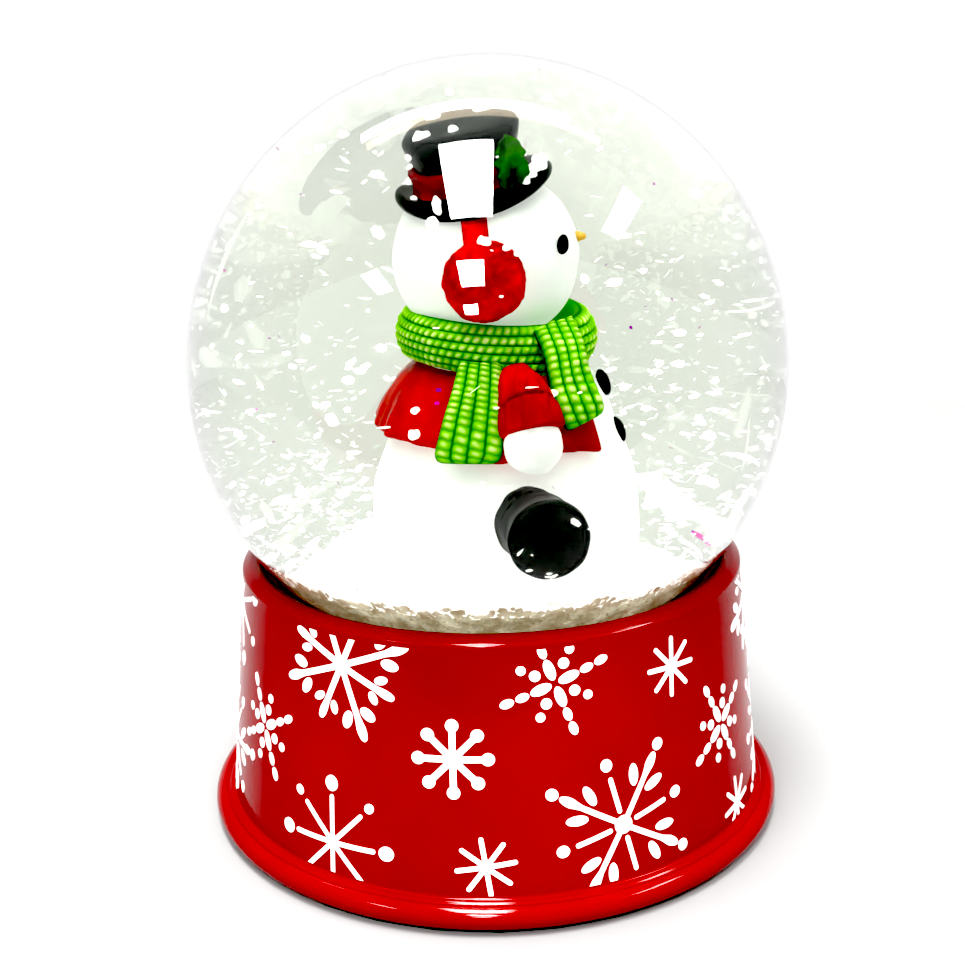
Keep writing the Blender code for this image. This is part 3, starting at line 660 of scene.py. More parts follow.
def wrapped(bodies, azimuth, height):
    """Flat print shapes cut off at the rim and the foot, and laid on the taper round a point."""
    slope = (BASE_BOTTOM_RADIUS - BASE_TOP_RADIUS) / (BASE_TOP - BASE_BOTTOM)
    upright = 1 / sqrt(1 + slope * slope)
    verts, faces = joined(bodies)
    work = bmesh.new()
    points = [work.verts.new(p) for p in verts]
    for face in faces:
        work.faces.new([points[i] for i in face])
    for limit, way in ((44.0, 1), (5.2, -1)):
        cut = (limit - height) / upright
        whole = list(work.verts) + list(work.edges) + list(work.faces)
        found = bmesh.ops.bisect_plane(
            work, geom=whole, plane_co=(0, cut, 0), plane_no=(0, way, 0), clear_outer=True
        )
        edges = [e for e in found["geom_cut"] if isinstance(e, bmesh.types.BMEdge)]
        if edges:
            bmesh.ops.holes_fill(work, edges=edges, sides=0)
    work.verts.index_update()
    out = []
    for vert in work.verts:
        u, v, w = vert.co
        z = height + v * upright
        radius = base_radius(z)
        way = radians(azimuth) + u / radius
        radius += w - INK_SUNK
        out.append((radius * sin(way), -radius * cos(way), z))
    made = [[v.index for v in face.verts] for face in work.faces]
    work.free()
    return out, made


def build_prints():
    places = [
        (leaved, 22, -32.2, 39.6), (dotted, 20, 12.1, 38.5), (dotted, 28, -56.1, 23.9),
        (dotted, 29, 54.7, 23.4), (balled, 1, -8.2, 27.1), (star, -3, 39.0, 37.1),
        (star, 9, -2.1, 9.9), (tipped, 2, -33.8, 10.2), (great, 59, 25.3, 14.1),
        (leaved, 12, 79, 39.5), (great, 40, 84, 14), (tipped, 20, -76, 40.5),
        (great, 8, -79, 15), (star, 5, 60, 7.5), (balled, 10, 101, 30.5),
        (dotted, 12, 116, 14.5), (tipped, 0, 124, 38.5), (star, 12, 140, 24.5),
        (leaved, 18, 152, 10.5), (dotted, 35, 158, 35.5), (great, 50, 188, 30),
        (star, 0, 178, 8), (tipped, 8, 208, 11), (star, 6, 214, 39),
        (balled, 4, 226, 26), (dotted, 24, 240, 39), (leaved, 30, 246, 12.5),
        (balled, 0, 262, 29.5),
    ]
    shapes = [wrapped(kind(radians(turn)), way, height) for kind, turn, way, height in places]
    piece("snowflake_prints", joined(shapes), PRINT, smooth=False)


# --- Glass and filling ---


def build_glass():
    top = BALL_Z + BALL_HALF_HEIGHT
    skin = GLASS_SKIN
    neck = NECK_RADIUS - skin
    outer = ball_arc(0, top, BALL_Z, 70)
    outer += ball_arc(0, BALL_Z, ball_height_at(NECK_RADIUS, 0), 48)[1:]
    outer += [(NECK_RADIUS, NECK_BOTTOM + 1.6), (NECK_RADIUS + 1, NECK_BOTTOM)]
    inner = ball_arc(skin, top - skin, BALL_Z, 70)
    inner += ball_arc(skin, BALL_Z, ball_height_at(neck, skin), 48)[1:]
    inner += [(neck, NECK_BOTTOM)]
    piece("glass_ball", lathe(outer + inner[::-1], 256), GLASS, "glass_globe")


def build_liquid():
    """The clear filling, which wets the glass right up to the crown, as in a ball filled to the top."""
    inset = GLASS_SKIN + LIQUID_GAP
    crown = BALL_Z + BALL_HALF_HEIGHT - inset
    wall = ball_arc(inset, crown, BALL_Z, 70) + ball_arc(inset, BALL_Z, LIQUID_FOOT, 46)[1:]
    piece("liquid_filling", lathe(wall + [(0, LIQUID_FOOT)], 256), LIQUID, "liquid_fill")


# --- Snow ---


def bed_height(x, y):
    """Height of the snow's top: level at the glass, heaped round the body and highest on its left."""
    away = hypot(x - BODY_X, y)
    way = atan2(y, x - BODY_X)
    heap = 4.6 + 4.6 * max(0.0, cos(way - radians(170))) + 1.0 * max(0.0, sin(way))
    heap -= 2.6 * max(0.0, -sin(way)) ** 2
    ease = eased(limited(1 - (away - 15.5) / (17.0 if cos(way) < 0 else 21.0)))
    lumps = noise.noise(Vector((x, y, 1.7)) / 7.5) * 0.9 + noise.noise(Vector((x, y, 8.1)) / 2.6) * 0.45
    fine = noise.noise(Vector((x, y, 4.4)) / 0.9) * 0.22
    return BED_LEVEL + heap * ease + lumps * (0.4 + 0.6 * ease) + fine


def build_bed():
    """The settled snow: one rough heap from the glass wall in to the figure's feet."""
    segments = 260
    rows = 96
    inset = GLASS_SKIN + LIQUID_GAP + 0.3
    rim = ball_radius_at(BED_LEVEL + 0.1, inset)
    verts = [(0.0, 0.0, bed_height(0, 0))]
    edge = [0.0]
    for k in range(1, rows + 1):
        for i in range(segments):
            way = TAU * i / segments
            radius = rim * k / rows
            x, y = polar(radius, way)
            z = bed_height(x, y)
            if k == rows:
                radius = ball_radius_at(z, inset)
                x, y = polar(radius, way)
            verts.append((x, y, z))
            # Painted shade: edge runs from 0 to 1 over the outermost rings and is 1 down the side against the
            # glass; the snow's material turns darker and tan along it.
            edge.append(max(0.0, (k / rows - SHADED_FROM) / (1 - SHADED_FROM)))
    down = 12
    for k in range(1, down + 1):
        for i in range(segments):
            way = TAU * i / segments
            start = verts[1 + (rows - 1) * segments + i][2]
            z = start + (BED_FOOT - start) * k / down
            verts.append((*polar(ball_radius_at(z, inset), way), z))
            edge.append(1.0)
    rings = [[0]] + [[1 + k * segments + i for i in range(segments)] for k in range(rows + down)]
    faces = between(rings, segments)
    faces.append(rings[-1][::-1])
    mark(piece("snow_bed", (verts, faces), SNOW, "loose_snow", "snow_mound"), "edge", edge)


def plate(rng, centre, size, turn, thick=0.07):
    """One flake: a thin crooked many-sided plate."""
    count = rng.choice((5, 6, 6, 7))
    start = rng.uniform(0, TAU)
    stretch = rng.uniform(0.65, 1.0)
    rim = []
    for i in range(count):
        way = start + TAU * i / count + rng.uniform(-0.22, 0.22)
        radius = size * rng.uniform(0.72, 1.0)
        rim.append(Vector((radius * cos(way), radius * sin(way) * stretch, rng.uniform(-0.06, 0.06) * size)))
    up = Vector((0, 0, thick / 2))
    verts = [centre + turn @ (p + up * side) for side in (1, -1) for p in rim]
    faces = [list(range(count)), list(range(count, 2 * count))[::-1]]
    for i in range(count):
        j = (i + 1) % count
        faces.append([i, count + i, count + j, j])
    return verts, faces


def any_turn(rng, flat=1.0):
    """A random turn, nearer to lying flat for small values of flat."""
    tilt = Matrix.Rotation(rng.uniform(-1, 1) * pi / 2 * flat, 3, "X")
    return Matrix.Rotation(rng.uniform(0, TAU), 3, "Z") @ tilt @ Matrix.Rotation(rng.uniform(0, TAU), 3, "Z")


def in_figure(p, room=0.8):
    """Whether a point is inside the snowman, or nearer to it than room."""
    away = hypot(p.x - BODY_X, p.y)
    if p.z < 80 and away < 17.2 + room:
        return True
    if hypot(p.x - 7, abs(p.y) - 19) < 6.2 + room and 52 < p.z < 78:
        return True
    if 78 < p.z < 103 and hypot(p.x, p.y) < 14 + room and not (abs(p.y) < 8 and p.z > 101):
        return True
    return 96 < p.z < 114 and hypot(p.x + 2, p.y) < 12.5 + room


def spot_within(rng, reach):
    """A random place, level, evenly spread within a distance of the middle."""
    radius = sqrt(rng.random()) * reach
    return polar(radius, rng.uniform(0, TAU))


def loose(name, bodies, look=FLAKE):
    piece(name, joined(bodies), look, smooth=False)


def build_floating():
    """Flakes adrift in the filling, thicker towards the bottom."""
    rng = Random(7)
    bodies = []
    while len(bodies) < FLOATING_FLAKES:
        z = 49 + min(73.0, rng.expovariate(1 / 17.0))
        p = Vector((*spot_within(rng, ball_radius_at(z, 1.4)), z))
        if in_figure(p) or z < bed_height(p.x, p.y) + 0.6 or z > LIQUID_TOP - 1:
            continue
        in_front = p.y < -8 and abs(p.x - 2) < 20 and z > 56
        if in_front and rng.random() < 0.9:
            continue
        size = rng.choice((0.3, 0.4, 0.5, 0.65, 0.8, 1.1))
        bodies.append(plate(rng, p, size, any_turn(rng, 0.55)))
    loose("floating_flakes", bodies)


def build_settled():
    """Flakes lying on the bed, and the ones crowded against the glass above the rim."""
    rng = Random(11)
    bodies = []
    for _ in range(SETTLED_FLAKES):
        x, y = spot_within(rng, 39.0)
        if hypot(x - BODY_X, y) < 15.5:
            continue
        p = Vector((x, y, bed_height(x, y) + rng.uniform(0.0, 0.25)))
        if hypot(x, y) > ball_radius_at(p.z, 1.3):
            continue
        bodies.append(plate(rng, p, rng.choice((0.35, 0.5, 0.7, 0.95)), any_turn(rng, 0.35)))
    loose("settled_flakes", bodies)
    bodies = []
    for _ in range(RIM_FLAKES):
        way = rng.uniform(0, TAU)
        z = rng.uniform(44.5, 49.6 + 1.6 * noise.noise(Vector((*polar(1, way), 0)) * 9))
        inset = GLASS_SKIN + LIQUID_GAP + rng.uniform(0.1, 0.4)
        p = Vector((*polar(ball_radius_at(z, inset), way), z))
        lean = asin(limited((z - BALL_Z) / BALL_HALF_HEIGHT, -1.0))
        out = Vector((*polar(cos(lean), way), sin(lean)))
        turn = out.to_track_quat("Z", "Y").to_matrix() @ any_turn(rng, 0.12)
        bodies.append(plate(rng, p, rng.choice((0.35, 0.5, 0.65, 0.9)), turn, 0.05))
    loose("rim_flakes", bodies, RIM_FLAKE)


def build_glitter():
    rng = Random(23)
    bodies = []
    while len(bodies) < GLITTER_FLAKES:
        z = rng.uniform(52, 104)
        p = Vector((*spot_within(rng, ball_radius_at(z, 1.6)), z))
        if in_figure(p) or z < bed_height(p.x, p.y) + 0.6:
            continue
        bodies.append(plate(rng, p, rng.uniform(0.2, 0.36), any_turn(rng), 0.04))
    on_cape = ((-6.4, -14.9, 78.0), (-6.6, -15.6, 76.4))
    on_sleeve = ((0.9, -16.4, 75.4), (1.4, -16.6, 74.7), (1.9, -16.5, 75.9))
    for x, y, z in on_cape + on_sleeve:
        bodies.append(plate(rng, Vector((x, y, z)), 0.5, Matrix.Rotation(radians(75), 3, "X"), 0.05))
    loose("pink_glitter", bodies, PINK)


# --- Snowman ---


def wobble(x, y, z, size, seed=0.0):
    return noise.noise(Vector((x, y, z)) / size + Vector((seed, 2 * seed, 0.5)))


def build_body():
    profile = flow(
        [(0, 78.8), (6, 78.8), (9.6, 78.2), (12.3, 75.2), (13.9, 71), (15.3, 67.2), (16.5, 62.8),
         (16.7, 58.5), (16.2, 54), (15.3, 50.2), (13, 47.4), (0, 46.9)],
        9,
    )

    def shape(radius, angle, z):
        radius += 0.28 * wobble(*polar(radius, angle), z, 7.0) * min(1.0, radius / 6)
        return (BODY_X + radius * cos(angle), radius * sin(angle), z)

    piece("snowman_torso", lathe(profile, 120, shape), FIGURE_WHITE, "snowman_body")


def build_head():
    head = ball(HEAD, HEAD_RADII, 0.3, 6.0, 4.0, 96)
    piece("snowman_face", head, FIGURE_WHITE, "snowman_head")
    profile = flow([(0, 1.1), (0.3, 1.0), (0.5, 0.6), (0.65, 0.1), (0.75, -0.9)], 5)

    def shape(radius, angle, along):
        ridge = 1 + 0.05 * sin(along * 9)
        return (11.7 + along, radius * ridge * cos(angle), NOSE_Z + radius * ridge * sin(angle))

    piece("carrot_tip", lathe(profile + [(0, -0.9)], 32, shape), CARROT, "carrot_nose")
    for side, word in SIDES:
        way = EYE_AZIMUTH * side
        turn = Matrix.Rotation(way, 3, "Z")
        spot = (11.75 * cos(way), 11.75 * sin(way), EYE_Z)
        eye = ball(spot, (0.5, 1.15, 1.32), 0.08, 1.2, 2.0, 32, turn)
        piece(f"painted_eye_{word}", eye, FIGURE_BLACK, f"eye_{word}")


def hat_place(across, side, up):
    """A point of the hat from its own axes: towards the face, to the left, and up the crown."""
    return HAT_FOOT + Matrix.Rotation(-HAT_TILT, 3, "Y") @ Vector((across, side, up))


def build_hat():
    outline = flow(
        [(0, 9.9), (4.4, 9.85), (6.3, 9.6), (7.25, 9.1), (7.65, 8.4), (7.5, 7.4), (7.05, 6.0),
         (6.6, 4.4), (6.3, 2.9), (6.5, 2.1), (7.4, 1.75), (8.7, 1.85), (9.7, 1.8), (10.35, 1.35),
         (10.55, 0.7), (10.2, 0.1), (9.3, -0.15), (6, 0.0), (0, 0.1)],
        5,
    )

    def shape(radius, angle, up):
        spread = max(0.0, (radius - 6.6) / 4.0)
        saddle = 0.85 * spread ** 1.4 * cos(2 * angle) if up < 3 else 0.0
        dent = 0.22 * noise.noise(Vector((*polar(radius, angle), up)) / 3.4)
        radius += dent * min(1.0, radius / 3) - 0.9 * min(1.0, spread) * max(0.0, -cos(angle))
        return hat_place(*polar(radius, angle), up + saddle + 0.6 * dent)

    piece("felted_top_hat", lathe(outline, 128, shape), FIGURE_BLACK, "top_hat")
    band = flow(
        [(7.15, 5.0), (7.45, 4.6), (7.2, 3.4), (7.1, 2.4), (7.3, 1.8), (6.6, 1.7), (6.0, 3.4), (6.4, 4.9)],
        5, True,
    )

    def ribbon(radius, angle, up):
        radius += 0.12 * sin(angle * 11 + up * 2) + 0.1 * noise.noise(Vector((*polar(1, angle), up)) * 3)
        return hat_place(*polar(radius, angle), up + 0.15 * sin(3 * angle))

    piece("hat_ribbon", lathe(band, 128, ribbon, closed=True), BAND_RED, "hatband")


def leaf(base, along, out, length, width, bend=0.5, steps=15):
    """A holly leaf: pointed, with scalloped edges, a sunken midrib and a bend away from what it lies on."""
    along = Vector(along).normalized()
    out = Vector(out).normalized()
    across = along.cross(out).normalized()
    rings = []
    for i in range(steps + 1):
        t = i / steps
        half = width / 2 * max(0.03, sin(pi * min(1.0, t * 1.04)) ** 0.5) * (1 + 0.1 * cos(TAU * t * 3.5))
        middle = Vector(base) + along * (length * t) + out * (bend * sin(pi * t))
        front = []
        back = []
        for k in range(9):
            w = -1 + k / 4
            lift = 0.42 * abs(w) ** 0.8 - 0.06 * cos(TAU * 2.2 * (t - abs(w) * 0.25)) * abs(w)
            spot = middle + across * (half * w) + out * lift
            front.append(spot + out * 0.42)
            back.append(spot - out * 0.25)
        rings.append(front + back[::-1])
    return loft(rings)


def build_leaves():
    spot = hat_place(4.6, -6.0, 5.2)
    out = Vector((0.6, -0.79, 0.1))
    side = Vector((0.78, 0.6, 0.1))
    up = Vector((0, 0, 1))
    bodies = [
        leaf(spot + out * 0.5 - up * 1.6 - side * 0.1, up + side * 0.1, out, 5.6, 4.4, 1.0),
        leaf(spot + out * 0.9 + up * 1.5 + side * 0.5, -up - side * 0.05, out, 5.4, 4.6, 1.0),
        leaf(spot + out * 0.9 - up * 1.2 + side * 0.9, side + up * 0.3, out, 2.4, 3.0, 0.6),
    ]
    piece("holly_leaves", joined(bodies), LEAF_GREEN, "hat_leaf_bow")


def build_muffs():
    rim = flow(
        [(0, 3.5), (2.2, 3.4), (3.9, 2.9), (4.9, 2.1), (5.35, 1.1), (5.3, 0.1), (4.7, -0.7), (0, -0.9)], 7
    )
    for side, word in SIDES:

        def disc(radius, angle, out):
            spot = (*polar(radius, angle), out)
            plush = 0.26 * wobble(*spot, 0.9, side) + 0.22 * wobble(*spot, 3.0, 5 + side)
            radius += plush * min(1.0, radius / 3)
            x, y, z = MUFF
            return (x + radius * cos(angle), side * (y + out + plush), z + radius * sin(angle))

        piece(f"plush_muff_{word}", lathe(rim, 96, disc), MUFF_RED, f"earmuff_{word}")
        rings = []
        for i in range(19):
            up = radians(20 + 31 * i / 18)
            ring = []
            for k in range(16):
                way = TAU * k / 16
                across = 1.7 * cos(way) / max(abs(cos(way)), abs(sin(way))) ** 0.6
                lift = 0.55 * sin(way)
                radius = 12.15 + lift + 0.12 * wobble(across, i * 0.6, lift, 0.8, 9 + side)
                x = -1.3 + 0.03 * (i - 9) * side + across
                ring.append((x, side * radius * cos(up), 91.6 + radius * 0.97 * sin(up)))
            rings.append(ring)
        piece(f"muff_strap_{word}", loft(rings), MUFF_RED, f"earmuff_strap_{word}")


def stitch(along, across, ribs):
    """Height from 0 to 1 of the knit: ribs run along the scarf, each a row of rounded stitches."""
    rib = across * ribs
    shoulder = abs(sin(pi * rib)) ** 0.5
    lean = 0.1 * sin(TAU * rib)
    pad = abs(sin(pi * (along + lean + 0.5 * (int(rib) % 2)))) ** 0.7
    return shoulder * (0.3 + 0.7 * pad)


def knit_piece(name, rings, heights, closed, replaces):
    if closed:
        size = len(rings[0])
        verts, faces = loft(rings, cap=False)
        last = (len(rings) - 1) * size
        for i in range(size):
            j = (i + 1) % size
            faces.append([last + i, last + j, j, i])
    else:
        verts, faces = loft(rings)
    mark(piece(name, (verts, faces), KNIT, replaces), "stitch", heights)


def build_wrap():
    ribs, stitches, fine, per = 6, 66, 8, 8
    rings = []
    heights = []
    for i in range(stitches * per):
        angle = TAU * i / (stitches * per)
        ring = []
        drop = -0.7 * cos(angle) + 0.35 * sin(2 * angle)
        for k in range(ribs * fine + 1):
            w = k / (ribs * fine)
            high = stitch(i / per, w, ribs) * (0.9 + 0.3 * wobble(cos(angle) * 5, sin(angle) * 5, w * 4, 1.0))
            bulge = 1 - abs(2 * w - 1) ** 2.4
            radius = 10.7 + 1.55 * bulge + 0.62 * high + 0.25 * sin(3 * angle + w * 2)
            z = SCARF_FOOT + SCARF_HEIGHT * w + drop * (1 - 0.4 * w)
            ring.append((1 + radius * cos(angle), radius * sin(angle), z))
            heights.append(high)
        for k in range(12):
            w = 1 - k / 11
            radius = 10.5 - 1.5 * (1 - abs(2 * w - 1) ** 3)
            z = SCARF_FOOT + SCARF_HEIGHT * w + drop * (1 - 0.4 * w)
            ring.append((1 + radius * cos(angle), radius * sin(angle), z))
            heights.append(0.2)
        rings.append(ring)
    knit_piece("knit_scarf_wrap", rings, heights, True, "scarf_wrap")


def hanging(name, course, acrosses, widths, ribs, rows, thick, replaces):
    """A hanging end of the scarf along a course of points, widening, with a rounded lower end."""
    fine, per = 9, 8
    spots = flow(course, 24)
    sides = flow(acrosses, 24)
    count = rows * per
    rings = []
    heights = []
    for i in range(count + 1):
        t = i / count
        place = t * (len(spots) - 1)
        low = min(int(place), len(spots) - 2)
        spot = spots[low].lerp(spots[low + 1], place - low)
        ahead = (spots[min(low + 2, len(spots) - 1)] - spots[max(low - 1, 0)]).normalized()
        across = sides[low].lerp(sides[low + 1], place - low).normalized()
        out = across.cross(ahead).normalized()
        if out.dot(Vector((spot.x - 1, spot.y, 0))) < 0:
            out = -out
        width = widths[0] + (widths[1] - widths[0]) * t
        end = sqrt(max(0.0, 1 - max(0.0, (t - 0.86) / 0.14) ** 2))
        width *= 0.6 + 0.4 * end
        ring = []
        for k in range(ribs * fine + 1):
            w = k / (ribs * fine)
            uneven = 0.92 + 0.3 * wobble(spot.x, spot.z, w * 5, 1.3)
            high = stitch(i / per, w, ribs) * uneven * (0.25 + 0.75 * end)
            body = thick / 2 * (1 - abs(2 * w - 1) ** 3.5) ** 0.5 * (0.35 + 0.65 * end)
            ring.append(spot + across * (width * (w - 0.5)) + out * (body + 0.5 * high + 0.1))
            heights.append(high)
        for k in range(10):
            w = 1 - k / 9
            body = thick / 2 * (1 - abs(2 * w - 1) ** 3.5) ** 0.5 * (0.35 + 0.65 * end)
            ring.append(spot + across * (width * (w - 0.5)) - out * (body + 0.05))
            heights.append(0.2)
        rings.append(ring)
    knit_piece(name, rings, heights, False, replaces)


def build_tails():
    hanging(
        "knit_front_tail",
        [(-0.9, -12.6, 80.6), (-1.3, -14.6, 77.6), (-2.0, -16.1, 73.8), (-2.9, -17.3, 68.5)],
        [(1, -0.12, 0.0), (1, -0.15, 0.02), (1, -0.17, 0.0), (1, -0.17, 0.0)],
        (5.6, 9.4), 4, 15, 1.7, "scarf_front_tail",
    )
    hanging(
        "knit_knot_tail",
        [(8.4, -8.8, 84.8), (9.7, -10.8, 82.2), (10.6, -12.6, 78.2), (12.6, -13.6, 73.0)],
        [(0.78, 0.62, 0.1), (0.76, 0.6, 0.22), (0.76, 0.58, 0.3), (0.78, 0.55, 0.3)],
        (6.2, 6.8), 4, 14, 2.1, "scarf_knot_tail",
    )


def build_cape():
    """The glossy cape: a thick moulded skirt with gathers, open in front where the buttons show."""
    section = flow(
        [(10.3, 79.0), (12.4, 77.6), (14.1, 75.2), (15.3, 72.6), (16.1, 70.2), (16.25, 69.1), (15.7, 68.7),
         (15.1, 69.3), (14.2, 72.2), (13.0, 74.9), (11.4, 77.0), (9.9, 78.0)],
        5, True,
    )
    rings = []
    turns = 220
    for i in range(turns + 1):
        angle = radians(CAPE_OPENING) + radians(360 - 2 * CAPE_OPENING) * i / turns
        ring = []
        for radius, z in section:
            fall = max(0.0, (78.5 - z) / 9.5) ** 1.4
            fold = 0.42 * sin(7 * angle + 0.4) + 0.22 * sin(16 * angle + 1.3) + 0.12 * sin(29 * angle)
            for side in (1, -1):
                near = (angle - TAU * (side < 0) - side * radians(73)) / 0.3
                fold += 1.5 * exp(-near * near)
                fold += 0.35 * exp(-near * near / 3) * sin(30 * angle + z)
            swing = (0.45 * sin(5 * angle + 0.8) + 1.7 * max(0.0, -cos(angle)) ** 2) * fall
            spread = radius + fold * fall + 0.1 * wobble(*polar(radius, angle), z, 2.0)
            ring.append((BODY_X + spread * cos(angle), spread * sin(angle), z + swing))
        rings.append(ring)
    piece("gathered_cape", loft(rings), FIGURE_RED, "red_cape")


def build_arms():
    for side, word in SIDES:
        points = ((3.6, 12.8, 78.6), (4.6, 16.0, 77.3), (5.3, 18.4, 75.2), (5.75, 19.5, 72.9))
        course = flow([(x, side * y, z) for x, y, z in points], 8)
        radii = flow([(2.7, 0), (3.4, 0), (4.0, 0), (4.2, 0)], 8)
        rings = []
        for i, (spot, (radius, _)) in enumerate(zip(course, radii)):
            ahead = (course[min(i + 1, len(course) - 1)] - course[max(i - 1, 0)]).normalized()
            first = ahead.orthogonal().normalized()
            second = ahead.cross(first)
            t = i / (len(course) - 1)
            ring = []
            for k in range(72):
                way = TAU * k / 72
                pleat = 0.32 * t * t * sin(9 * way + 2 * t) + 0.16 * t * sin(17 * way)
                size = radius + pleat + 0.1 * wobble(cos(way) * 3, sin(way) * 3, t * 6, 1.1, side)
                if t > 0.9:
                    size *= 1 - 0.12 * ((t - 0.9) / 0.1) ** 2
                ring.append(spot + first * (size * cos(way)) + second * (size * sin(way)))
            rings.append(ring)
        piece(f"gathered_sleeve_{word}", loft(rings), FIGURE_RED, f"sleeve_{word}")
        hand = ball((5.85, side * 20.1, 71.4), (3.95, 3.7, 3.9), 0.25, 2.2, 6.0 + side, 64)
        piece(f"white_mitten_{word}", hand, FIGURE_WHITE, f"mitten_{word}")


def build_boots():
    for side, word in SIDES:
        stations = [
            (13.5, 3.0, 61.2, 3.6), (15.0, 4.0, 60.6, 4.3), (17.0, 5.4, 60.0, 4.75),
            (19.0, 6.5, 59.5, 5.0), (20.8, 7.3, 59.05, 5.15), (21.9, 7.6, 58.9, 5.2),
            (22.25, 7.7, 58.85, 5.0), (22.35, 7.7, 58.85, 4.85), (22.5, 7.75, 58.8, 5.0),
            (22.6, 7.8, 58.8, 5.45), (22.9, 7.8, 58.8, 5.6), (23.5, 7.8, 58.8, 5.6),
            (23.75, 7.8, 58.8, 5.45), (23.85, 7.8, 58.8, 5.1), (23.75, 7.8, 58.8, 4.7),
            (23.7, 7.8, 58.8, 3.0),
        ]
        path = flow([(y, x, z) for y, x, z, _ in stations], 4)
        radii = flow([(r, 0) for _, _, _, r in stations], 4)
        rings = []
        for (out, x, z), (radius, _) in zip(path, radii):
            ring = []
            for k in range(72):
                way = TAU * k / 72
                crease = 0.16 * sin(out * 5.0 + cos(way) * 2) * limited((21 - out) / 3)
                size = radius + crease + 0.14 * wobble(cos(way) * 5, sin(way) * 5, out, 2.4, side)
                ring.append((x + size * cos(way), side * out, z + size * 1.03 * sin(way)))
            rings.append(ring)
        sharpen(piece(f"lacquered_boot_{word}", loft(rings), FIGURE_BLACK, f"boot_{word}"))


def build_buttons():
    for name, x, z in (("button_upper", 14.6, 75.5), ("button_lower", 16.35, 69.3)):
        lean = Matrix.Rotation(radians(-18), 3, "Y")
        button = ball((x, 0, z), (0.85, 1.75, 1.75), 0.1, 1.1, 8.0, 32, lean)
        piece(name + "_domed", button, FIGURE_BLACK, name)


def build_dusting():
    """Snow settled on the hat's crown and brim, and flakes clinging to the clothes."""
    blobs = []
    spots = [
        (-4.7, -2.4, 9.7, 1.35, 0.85), (-0.6, -2.6, 9.9, 0.95, 0.6), (-6.9, -3.2, 7.6, 0.4, 0.4),
        (9.0, -2.2, 2.6, 1.45, 0.8), (8.0, -4.4, 2.3, 1.0, 0.75), (9.2, 0.2, 2.9, 1.15, 0.7),
        (7.4, -5.8, 1.7, 0.9, 0.75), (-4.4, -9.3, 2.0, 0.7, 1.35), (-5.6, -9.0, -0.1, 1.0, 0.7),
        (-7.4, -3.4, 2.0, 0.5, 0.4), (2.0, 8.4, 2.0, 1.1, 0.5), (-3.0, 5.0, 9.8, 1.4, 0.45),
        (3.2, 3.8, 9.9, 1.2, 0.4), (-7.6, 4.4, 2.2, 1.2, 0.5), (6.4, 6.6, 2.1, 1.0, 0.5),
    ]
    for i, (across, side, up, size, tall) in enumerate(spots):
        turn = Matrix.Rotation(-HAT_TILT, 3, "Y") @ Matrix.Rotation(i * 1.3, 3, "Z")
        centre = hat_place(across, side, up)
        blobs.append(ball(centre, (size, size * 0.72, tall), 0.35, 0.8, 1.0 + i, 28, turn))
    for x, y, z, size in ((-9.4, -10.9, 74.5, 0.75), (-9.6, -12.3, 71.6, 1.2), (8.4, -15.6, 77.4, 0.9)):
        turn = Matrix.Rotation(radians(40), 3, "Z") @ Matrix.Rotation(radians(70), 3, "X")
        blobs.append(ball((x, y, z), (size, size * 0.6, 0.3), 0.3, 0.7, size, 24, turn))
    for x, z, size in ((0.4, 96.0, 0.75), (-0.2, 97.6, 0.95), (4.2, 95.8, 0.5), (2.8, 96.6, 0.6)):
        blobs.append(ball((x, -14.2, z), (size, 0.4, size * 0.6), 0.3, 0.6, size, 24))
    piece("hat_snow", joined(blobs), CLINGING)


# --- Frame parts that stay ---


def dress(look, *nodes):
    for node in nodes:
        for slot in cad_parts[node].material_slots:
            slot.material = look


def dress_frame():
    brass = metal("brushed_brass", (0.56, 0.36, 0.1), (0.78, 0.56, 0.22), 0.18, 0.38)
    steel = metal("polished_steel", (0.46, 0.46, 0.48), (0.68, 0.68, 0.7), 0.14, 0.32)
    zinc = metal("cast_zinc", (0.34, 0.34, 0.36), (0.52, 0.52, 0.54), 0.35, 0.6, (1, 1, 1), 0.03)
    plastic = moulded("black_plastic_grain", (0.018, 0.018, 0.02), (0.04, 0.04, 0.043), 0.38, 0.58)
    nylon = moulded("white_nylon_grain", (0.68, 0.68, 0.63), (0.82, 0.82, 0.78), 0.35, 0.5)
    rubber = moulded("black_rubber_grain", (0.015, 0.015, 0.015), (0.04, 0.038, 0.037), 0.6, 0.85, 1500, 0.05)
    screws = [f"{kind}_screw_{i}" for kind in ("cover", "movement") for i in (1, 2, 3)]
    screws += [f"{kind}_screw_{i}" for kind in ("housing", "comb") for i in (1, 2)]
    dress(brass, "winding_key", "great_wheel", "pinned_drum", "drum_pinion", "drum_gear")
    dress(steel, "winding_arbor", "mainspring", "comb", *screws)
    dress(
        zinc, "movement_bedplate", "spring_housing", "drum_bearing_inner", "drum_bearing_outer", "comb_riser",
        "governor_frame",
    )
    dress(plastic, "bottom_cover")
    dress(nylon, "governor_idler", "governor_worm", "governor_fan")
    dress(rubber, "rubber_stopper")
    dress(felt(), "felt_ring")


# --- Studio ---


# In metres, as Blender has them.
CEILING = 1.0 + BALL_Z * MM
FLOOR_NEAR, FLOOR_FAR, FLOOR_SIDE = -0.17, 0.28, 0.6
CAMERA_PLACE = (0, -0.24822, 0.13169)
CAMERA_DOWN = radians(16.7)


